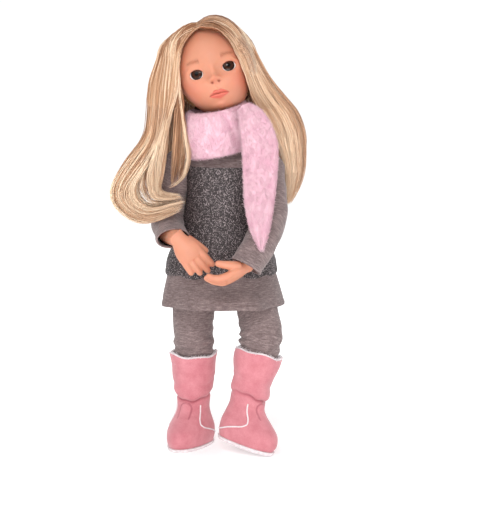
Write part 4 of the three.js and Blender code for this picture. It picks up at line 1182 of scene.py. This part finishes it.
# Sleeves and trouser legs: soft tubes that bend at the elbow or knee
# Half widths at distances past the elbow or knee
SLEEVE_WIDTHS = [
    (-84, 5), (-82, 11), (-74, 16.6), (-57, 18), (-25, 17.8), (0, 18.6), (25, 18), (42, 18), (60, 19)
]
LEG_WIDTHS = [(-86, 24.8), (-52, 24.6), (-22, 23.8), (0, 23.6), (8, 23.2), (18, 21.6), (28, 20), (40, 18.6)]
SLEEVE_TOP = 19
LEG_TOP = 4
CUFF_ROWS = 16
BEND = 24  # length on each side of the joint where the cloth goes round the bend
BEND_CUT = 3.5
CUFF_REACH = {"right": 0, "left": 10}
CUFF_SLANT = {"right": 0, "left": 12}
ELBOW_HANG = {"right": (6.5, 0, 0), "left": (-2, 0, 0)}
CUFF_HANG = {"right": (-2, 0, -1), "left": (0, 0, 0)}
CUFF_HEIGHT = {"right": 0.62, "left": 0.9}
SPLIT = 22  # the tube is in two parts, which meet this far above the elbow or knee


def joint_lines(upper, lower, length):
    """The elbow or knee, and the ways from it up and down the limb."""
    joint = np.array(upper @ Vector((0, 0, -length)))
    up = unit(np.array(upper @ Vector((0, 0, 0))) - joint)
    down = unit(np.array(lower @ Vector((0, 0, -1))) - joint)
    return joint, up, down


def bent_line(joint, up, down, length, over, reach, rows):
    """The middle line of a sleeve or leg, evenly spaced, and how far each point lies past the joint."""
    knots = [joint + up * (length + over), joint + up * length * 0.65, joint + up * BEND]
    knots += [joint + (up + down) * BEND_CUT, joint + down * BEND]
    knots += [joint + down * (BEND + reach) / 2, joint + down * reach]
    dense = along(knots, np.linspace(0, 1, 600))
    run = np.concatenate([[0], np.cumsum(np.linalg.norm(np.diff(dense, axis=0), axis=1))])
    middle = run[np.argmin(np.linalg.norm(dense - joint, axis=1))]
    even = np.linspace(0, run[-1], rows)
    line = np.stack([np.interp(even, run, dense[:, i]) for i in range(3)], -1)
    return line, even - middle


def limb_rings(upper, lower, length, over, widths, folds):
    rows, columns = GRID["limb"]
    joint, up, down = joint_lines(upper, lower, length)
    known = np.array(widths, float)
    line, past = bent_line(joint, up, down, length, over, known[-1, 0], rows)
    hinge = unit(np.array(lower.to_3x3() @ Vector((1, 0, 0))))
    tangent = unit(np.gradient(line, axis=0))
    other = unit(np.cross(tangent, hinge))
    angle = ring_angles(columns)[None, :, None]
    ring = np.cos(angle) * hinge + np.sin(angle) * other[:, None]
    inward = ring @ unit(up + down + 1e-6)
    width = np.interp(past, known[:, 0], known[:, 1])
    width = np.convolve(np.pad(width, 3, mode="edge"), np.ones(7) / 7, mode="valid")
    width[:3] = np.interp(past[:3], known[:, 0], known[:, 1])
    swell = folds(angle[..., 0], past[:, None], inward)
    return line[:, None] + (width[:, None] + swell)[..., None] * ring, past


def sleeve_folds(angle, past, inward):
    elbow = bell(past, 0, 20)
    creases = 1.3 * elbow * np.clip(inward + 0.3, 0, 1) * np.sin(past / 1.35 + 1.5 * np.cos(angle))
    drape = 0.7 * np.sin(past / 8 + 2 * angle) + 0.5 * np.sin(past / 4.6 - 3 * angle + 1)
    settle = smooth_step(past, -80, -66)
    hem = 0.5 * smooth_step(past, 55.6, 56.2) - 0.4 * bell(past, 55, 0.8)
    return creases + settle * drape + hem


def leg_folds(angle, past, inward):
    knee = bell(past, 0, 26)
    creases = 0.9 * knee * np.clip(inward + 0.4, 0, 1) * np.sin(past / 2.0 + 2 * np.cos(angle))
    bunch = smooth_step(past, -14, 6) * (1 - smooth_step(past, 14, 20))
    rolls = 1.1 * bunch * np.sin(past / 2.1 + 1.6 * np.sin(angle + 0.7) + np.sin(3 * angle))
    drape = 0.6 * np.sin(past / 11 + 2 * angle) + 0.4 * np.sin(past / 6 - 3 * angle)
    return creases + rolls + drape


def split_limb(name, rings, past, bodies, joint, up, down, nodes, flats):
    """Cloth in two parts, which meet a little above the elbow or knee."""
    cut = int(np.argmin(np.abs(past + SPLIT)))
    run = np.repeat(past[:, None], rings.shape[1], axis=1)
    top = lofted(f"{name}_top", rings[: cut + 1], JERSEY, values={"down": run[: cut + 1]})
    end = lofted(f"{name}_end", rings[cut:], JERSEY, values={"down": run[cut:]})
    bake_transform(top)
    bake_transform(end)
    for part, node_name, flat in zip((top, end), nodes, flats):
        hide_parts(node_name)


def hang_sleeve(rings, past, name):
    """Sags a sleeve off the elbow, flattens its cuff and lets the front of the cuff reach further."""
    middle = rings.mean(axis=1, keepdims=True)
    out = rings - middle
    onward = unit(middle[-1, 0] - middle[-8, 0])
    elbow = bell(past, 0, 28)[:, None, None]
    cuff = smooth_step(past, 20, 60)[:, None, None]
    flat = out * (1 + cuff * np.array([0, 0, CUFF_HEIGHT[name] - 1]))
    slant = CUFF_REACH[name] + CUFF_SLANT[name] * (unit(out) @ np.array([0, -1.0, 0]))
    slant = slant * smooth_step(past, 30, 60)[:, None]
    moved = elbow * np.array(ELBOW_HANG[name]) + cuff * np.array(CUFF_HANG[name])
    return middle + flat + moved + slant[..., None] * onward


def build_sleeves():
    for name in SIDES:
        upper, lower = ARMS[name]
        rings, past = limb_rings(upper, lower, UPPER_ARM, SLEEVE_TOP, SLEEVE_WIDTHS, sleeve_folds)
        rings = turn_in(hang_sleeve(rings, past, name), CUFF_ROWS)
        past = np.concatenate([past, past[-CUFF_ROWS:][::-1]])
        bodies = [f"{part}_{name}" for part in ("upper_arm", "elbow_swivel", "forearm")]
        nodes = [f"{part}_{name}" for part in ("sleeve_upper", "sleeve_lower")]
        lines = joint_lines(upper, lower, UPPER_ARM)
        split_limb(f"sleeve_{name}", rings, past, bodies, *lines, nodes, FLAT["sleeve"])


def build_trousers():
    for name in SIDES:
        upper, lower = LEGS[name]
        rings, past = limb_rings(upper, lower, THIGH, LEG_TOP, LEG_WIDTHS, leg_folds)
        bodies = [f"{part}_{name}" for part in ("thigh", "knee_swivel", "shin")]
        nodes = [f"{part}_{name}" for part in ("trouser_thigh", "trouser_shin")]
        lines = joint_lines(upper, lower, THIGH)
        split_limb(f"trouser_{name}", rings, past, bodies, *lines, nodes, FLAT["trouser"])


build_sleeves()
build_trousers()


# Boots
FLOOR = -SHIN - ANKLE
SOLE = 4
BOOT_FORM = [
    (SOLE + 0.3, 23, 52, 20.6),
    (12, 24.6, 55, 22.6),
    (22, 24.4, 52, 22.8),
    (31, 21.4, 41, 21.4),
    (39, 19, 29.6, 20),
    (47, 18.4, 24, 19.4),
    (66, 21.4, 23.8, 21.4),
    (88, 25.6, 26, 25),
    (106, 28, 28.4, 27),
]
SOLE_FORM = [
    (0, 22.6, 51.4, 20),
    (0.8, 23.4, 52.6, 20.8),
    (SOLE - 0.6, 24.4, 53.8, 21.8),
    (SOLE, 24, 53.4, 21.4),
]
TAB = {"half": 7, "low": 33, "top": 52, "thick": 0.7, "seam": 0.7, "fade": 9}
ANKLE_CREASE = 58
# The plush at the rim, from inside the boot outward: how far out from the rim and how far above it
LINING = [(-4.6, -16), (-4.2, -4), (-3.2, 0.4), (-2.0, 1.5), (-0.7, 1.3), (0, 0.1)]
LINING_FUR = {"count": 2600, "length": 1.7, "thick": 0.3, "stand": 0.4}
# tone of the lining between its hairs, darker than the tips: painted shade in the pile
LINING_BASE_SHADE = 0.6
# The white seam from the heel to the instep: angles round the boot and heights
PIPING_LINE = [(1.5, 9), (0.8, 10.5), (0.2, 15), (-0.2, 21), (-0.5, 26), (-0.62, 33), (-0.66, 50)]
PIPING_RADIUS = 0.8
PIPING_LIFT = 0.35
PIPING_STEPS = 60


def tab_reach(x, height):
    """Distance from the middle line of the front tab, and from its round top's middle above that."""
    return np.hypot(x, np.maximum(height - TAB["top"] + TAB["half"], 0))


def tab_edge(x, height):
    """Distance from the seam round the front tab, which fades out at the tab's lower end."""
    low = TAB["low"]
    faded = TAB["fade"] * (1 - smooth_step(height, low - 3, low + 3))
    return np.abs(tab_reach(x, height) - TAB["half"]) + faded


def crease_level(angle):
    return ANKLE_CREASE + 2.5 * np.sin(2 * angle + 1) - 1 + np.sin(angle) + 0.8 * np.sin(7 * angle)


def boot_folds(angle, share, height):
    front = 0.5 - 0.5 * np.sin(angle)
    level = crease_level(angle)
    pinch = -3.0 * bell(height, level, 2.0) + 1.8 * bell(height, level + 6, 4.5)
    second = -0.9 * bell(height, level + 17 + 3 * np.sin(3 * angle), 2.6)
    slouch = 0.7 * np.sin(height / 6 + 2 * np.sin(2 * angle)) * smooth_step(height, 45, 70)
    return (0.35 + 0.65 * front) * pinch + 0.7 * second + slouch


def boot_rings():
    rings = upright(BOOT_FORM, *GRID["boot"], boot_folds)
    angle = ring_angles(rings.shape[1])[None, :]
    top = smooth_step(rings[..., 2], 80, 106)
    rings[..., 2] += top * (1.6 * np.sin(2 * angle + 0.5) + 1.0 * np.sin(5 * angle))
    x = rings[..., 0]
    height = rings[..., 2]
    on_front = (np.sin(angle) < -0.2) & (height < TAB["top"] + 4)
    seam = bell(np.where(on_front, tab_edge(x, height), TAB["fade"]), 0, TAB["seam"])
    inside = on_front & (tab_reach(x, height) < TAB["half"])
    raised = TAB["thick"] * smooth_step(height, TAB["low"], TAB["low"] + TAB["fade"])
    rings[..., 1] += np.where(inside, -raised, 0) + 0.5 * seam
    # painted shade in the ankle crease, stronger at the front
    crease = 0.75 * bell(height, crease_level(angle), 1.3)
    return rings, np.maximum(0.6 * seam, crease * (0.5 - 0.5 * np.sin(angle)))


def on_boot(rings, turns, heights, lift):
    """Points on the boot's surface at given angles and heights."""
    spots = []
    columns = rings.shape[1]
    for turn, height in zip(turns, heights):
        column = int(round((turn % (2 * math.pi)) / (2 * math.pi) * columns)) % columns
        row = int(np.argmin(np.abs(rings[:, column, 2] - height)))
        middle = rings[row].mean(axis=0)
        spot = rings[row, column]
        spots.append(spot + unit(spot - middle) * lift)
    return np.array(spots)


def piping(name, rings, mirror, place):
    """The white piping in the seam on one side of a boot."""
    fine = along(PIPING_LINE, np.linspace(0, 1, PIPING_STEPS))
    turns = math.pi - fine[:, 0] if mirror else fine[:, 0]
    spots = on_boot(rings, turns, fine[:, 1], PIPING_LIFT)
    kernel = np.ones(5) / 5
    columns = [np.convolve(np.pad(spots[:, i], 2, mode="edge"), kernel, mode="valid") for i in range(3)]
    path = placed(np.stack(columns, -1), place)[None]
    return strands(name, path, np.full((1, PIPING_STEPS), PIPING_RADIUS), PIPING, {}, sides=8)


def boot_lining(name, rings, place):
    edge = rings[-1]
    out = unit((edge - edge.mean(axis=0)) * np.array([1, 1, 0]))
    rows = [edge + out * away + np.array([0, 0, up]) for away, up in LINING]
    dense = along(np.array(rows), np.linspace(0, 1, 24))
    tone = {"tip": np.full(dense.shape[:2], LINING_BASE_SHADE)}
    lining = lofted(f"boot_plush_{name}", dense, WHITE_PLUSH, place, values=tone)
    comb = LINING_FUR["stand"] * np.array(place.to_3x3() @ Vector((0, 0, 1)))
    facts = (LINING_FUR["length"], LINING_FUR["thick"])
    plush = fur(f"boot_plush_fur_{name}", lining, LINING_FUR["count"], comb, WHITE_PLUSH, *facts)
    return lining, plush


def build_boots():
    for name in SIDES:
        place = frame_at(LEGS[name][1], (0, 0, FLOOR))
        rings, seam = boot_rings()
        # the seam value also holds the painted shade in the ankle crease
        upper = lofted(f"boot_suede_{name}", rings, SUEDE, place, (True, False), {"seam": seam})
        lining, plush = boot_lining(name, rings, place)
        tread = upright(SOLE_FORM, *GRID["sole"])
        sole = lofted(f"boot_tread_{name}", tread, SOLE_RUBBER, place, (True, True))
        parts = [(upper, "pink_suede"), (lining, "white_plush"), (plush, "white_plush"), (sole, "pale_sole")]
        for index, mirror in enumerate((False, True)):
            parts.append((piping(f"boot_piping_{name}_{index}", rings, mirror, place), "white_plush"))
        for part, slot in parts:
            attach(part, f"shin_{name}")
        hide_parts(f"boot_upper_{name}")
        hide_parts(f"boot_lining_{name}")
        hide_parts(f"boot_sole_{name}")


build_boots()


# Forearms and hands: one smooth vinyl moulding
FOREARM_FORM = [
    (0, 11.5, 11.5, 11.5),
    (-13, 10.6, 10.6, 10.6),
    (-27, 12.6, 12.8, 12.8),
    (-45, 11.6, 12, 12),
    (-65, 9.6, 8.6, 8.6),
    (-72, 9, 7, 7),
]
PALM_FORM = [(5, 9, 7, 7), (-4, 9.6, 6.8, 7), (-14, 13.4, 6.4, 7), (-24, 14.6, 5.8, 6), (-30, 13.6, 4.2, 4.4)]
# Each finger: place across the palm, length and splay, from the index finger on
FINGERS = [(10, 25.5, 5), (3.5, 28, 1), (-3.3, 24.5, -3), (-9.6, 18.5, -8)]
FINGER = {"radius": 4.3, "tip": 3.3}
# Share of a finger's length in each of its bones, and how much of the curl it takes
FINGER_BONES = [(0.42, 0.6), (0.3, 1.6), (0.22, 2.4)]
KNUCKLE_LINE = -24
PALM_SIDE = (0.05, -1, 0.1)  # way the fingers' inner sides look
SKIN_GRAIN = 0.8
SKIN_ROUNDS = 5
THUMB = {"start": (8, -2, -8), "length": 27, "splay": 18, "curl": 6, "radius": 5, "tip": 3.6}


def finger_rings(start, length, splay, curl, radius, tip, lift=0):
    """A finger that bends towards the palm, -Y, at each of its joints."""
    knots = [(*start, radius, radius)]
    spot = np.array(start, float)
    aside = math.radians(splay)
    for (share, bend), width in zip(FINGER_BONES, (radius, (radius + tip) / 2, tip)):
        lean = math.radians(lift + curl * bend)
        flat = math.cos(lean)
        step = np.array([math.sin(aside) * flat, -math.sin(lean), -math.cos(aside) * flat])
        spot = spot + step * length * share
        knots.append((*spot, width, width))
    spot = spot + step * (length * 0.06 + 1)
    knots.append((*spot, tip * 0.55, tip * 0.55))
    return swept(knots, PALM_SIDE, *GRID["finger"])


def solid_parts(shapes):
    """One list of points and faces from several closed lofts."""
    points = []
    faces = []
    for rings in shapes:
        base = sum(len(p) for p in points)
        rows, columns = rings.shape[:2]
        faces += (np.array(grid_faces(rows, columns)) + base).tolist()
        faces.append((base + np.arange(columns))[::-1].tolist())
        faces.append((base + (rows - 1) * columns + np.arange(columns)).tolist())
        points.append(rings.reshape(-1, 3))
    return np.concatenate(points), faces


def moulded(made, voxel, rounds):
    """Replaces overlapping closed shapes by one smooth skin."""
    remesh = made.modifiers.new("skin", "REMESH")
    remesh.mode = "VOXEL"
    remesh.voxel_size = voxel * MM
    soften = made.modifiers.new("soften", "SMOOTH")
    soften.factor = 0.5
    soften.iterations = rounds
    bpy.context.view_layer.update()
    ready = made.evaluated_get(bpy.context.evaluated_depsgraph_get())
    mesh = bpy.data.meshes.new_from_object(ready)
    made.modifiers.clear()
    made.data = mesh
    mesh.polygons.foreach_set("use_smooth", np.ones(len(mesh.polygons), bool))


def build_hand(name, side):
    pose = HAND_POSE[name]
    shapes = [upright(PALM_FORM, *GRID["palm"])]
    for across, length, splay in FINGERS:
        start = (side * across, 0, KNUCKLE_LINE)
        facts = (pose["curl"], FINGER["radius"], FINGER["tip"])
        shapes.append(finger_rings(start, length, side * splay, *facts))
    start = np.array([side, 1, 1]) * THUMB["start"]
    facts = [THUMB[key] for key in ("curl", "radius", "tip")]
    shapes.append(finger_rings(start, THUMB["length"], side * THUMB["splay"], *facts, pose["thumb"]))
    hand = Matrix.Translation((0, 0, -FOREARM)) @ turned(z=pose["roll"])
    hand = hand @ turned(x=-pose["bend"]) @ turned(y=pose["aside"]) @ Matrix.Translation(pose["shift"])
    shapes = [placed(s, hand) for s in shapes]
    shapes.append(upright(FOREARM_FORM, *GRID["forearm"]))
    points, faces = solid_parts(shapes)
    made = piece(f"hand_{name}", points, faces, SKIN, ARMS[name][1])
    moulded(made, SKIN_GRAIN, SKIN_ROUNDS)
    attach(made, f"forearm_{name}")
    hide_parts(f"forearm_{name}")


for side_name, side_sign in SIDES.items():
    build_hand(side_name, side_sign)


# The solids that stay: vinyl body parts and nylon joint parts
def finish_solids():
    for name, made in frame["nodes"].items():
        if made.hide_render:
            continue
        look = NYLON if ("peg" in name or "pin" in name) else SKIN
        made.data.materials.clear()
        made.data.materials.append(look)


finish_solids()


# Stage: floor, light and camera
CENTRING = HIP_LINE - Vector((0, 0, HIP_HEIGHT))
CAMERA_SPOT = Vector((0, -1300, 340))
CAMERA_AIM = Vector((32.3, 0, 214.4))
LENS = 77.5
SENSOR = 36
FLOOR_HALF = 3000
LAMP_AIM = Vector((0, 0, 260))
# Strength of the light from the side that the doll faces and from behind it
BACKDROP = (0.6, 1.04)
BACKDROP_EDGES = (-0.6, 0.5)  # between these ways, from before to behind, the one passes into the other
VIEW_END = 20
LAMPS = {
    "key": {"spot": (-900, -1500, 1500), "size": 1.3, "power": 8.0},
    "fill": {"spot": (100, -900, 160), "size": 0.5, "power": 3.6},
    "catch": {"spot": (-80, -1480, 1300), "size": 0.28, "power": 6},
}


def glowing_floor():
    """A floor that glows, as painted light: weaker near the doll, where its shadow falls, and as bright as
    the backdrop further away.
    """
    look = plain_look("pale_glowing_floor", srgb(246, 245, 245), srgb(250, 249, 249), 0.9, 5)
    away = node(look, "ShaderNodeVectorMath", {0: position(look)}, operation="LENGTH").outputs["Value"]
    shader = look.node_tree.nodes["Principled BSDF"]
    shader.inputs["Emission Color"].default_value = (1, 1, 1, 1)
    # the glow, weaker near the doll: painted light
    to_shader(look, "Emission Strength", ramp(look, away, (0.2, grey(0.22)), (0.7, grey(0.6))))
    return look


def studio_light():
    """White all round, brighter behind the doll than on the side that it faces."""
    world = bpy.data.worlds.new("studio")
    world.use_nodes = True
    tree = world.node_tree
    background = tree.nodes["Background"]
    way = tree.nodes.new("ShaderNodeTexCoord")
    parts = tree.nodes.new("ShaderNodeSeparateXYZ")
    level = tree.nodes.new("ShaderNodeMapRange")
    limits = dict(zip(("From Min", "From Max", "To Min", "To Max"), BACKDROP_EDGES + BACKDROP))
    for socket, value in limits.items():
        level.inputs[socket].default_value = value
    tree.links.new(way.outputs["Generated"], parts.inputs["Vector"])
    tree.links.new(parts.outputs["Y"], level.inputs["Value"])
    tree.links.new(level.outputs["Result"], background.inputs["Strength"])
    background.inputs["Color"].default_value = (1, 1, 1, 1)
    bpy.context.scene.world = world


def build_stage():
    half = FLOOR_HALF
    corners = [(-half, -half, 0), (half, -half, 0), (half, half, 0), (-half, half, 0)]
    piece("floor", corners, [[0, 1, 2, 3]], glowing_floor())
    studio_light()
    for name, facts in LAMPS.items():
        lamp = bpy.data.lights.new(name, "AREA")
        lamp.size = facts["size"]
        lamp.energy = facts["power"]
        holder = bpy.data.objects.new(name, lamp)
        holder.location = Vector(facts["spot"]) * MM
        aim = LAMP_AIM - Vector(facts["spot"])
        holder.rotation_euler = aim.to_track_quat("-Z", "Y").to_euler()
        bpy.context.scene.collection.objects.link(holder)


def build_camera():
    camera = bpy.data.objects.new("camera", bpy.data.cameras.new("camera"))
    camera.data.lens = LENS
    camera.data.sensor_width = SENSOR
    camera.data.clip_end = VIEW_END
    camera.location = (CAMERA_SPOT + CENTRING) * MM
    camera.rotation_euler = (CAMERA_AIM - CAMERA_SPOT).to_track_quat("-Z", "Y").to_euler()
    bpy.context.scene.collection.objects.link(camera)
    bpy.context.scene.camera = camera
    bpy.context.scene.view_settings.view_transform = "Standard"


build_stage()
build_camera()
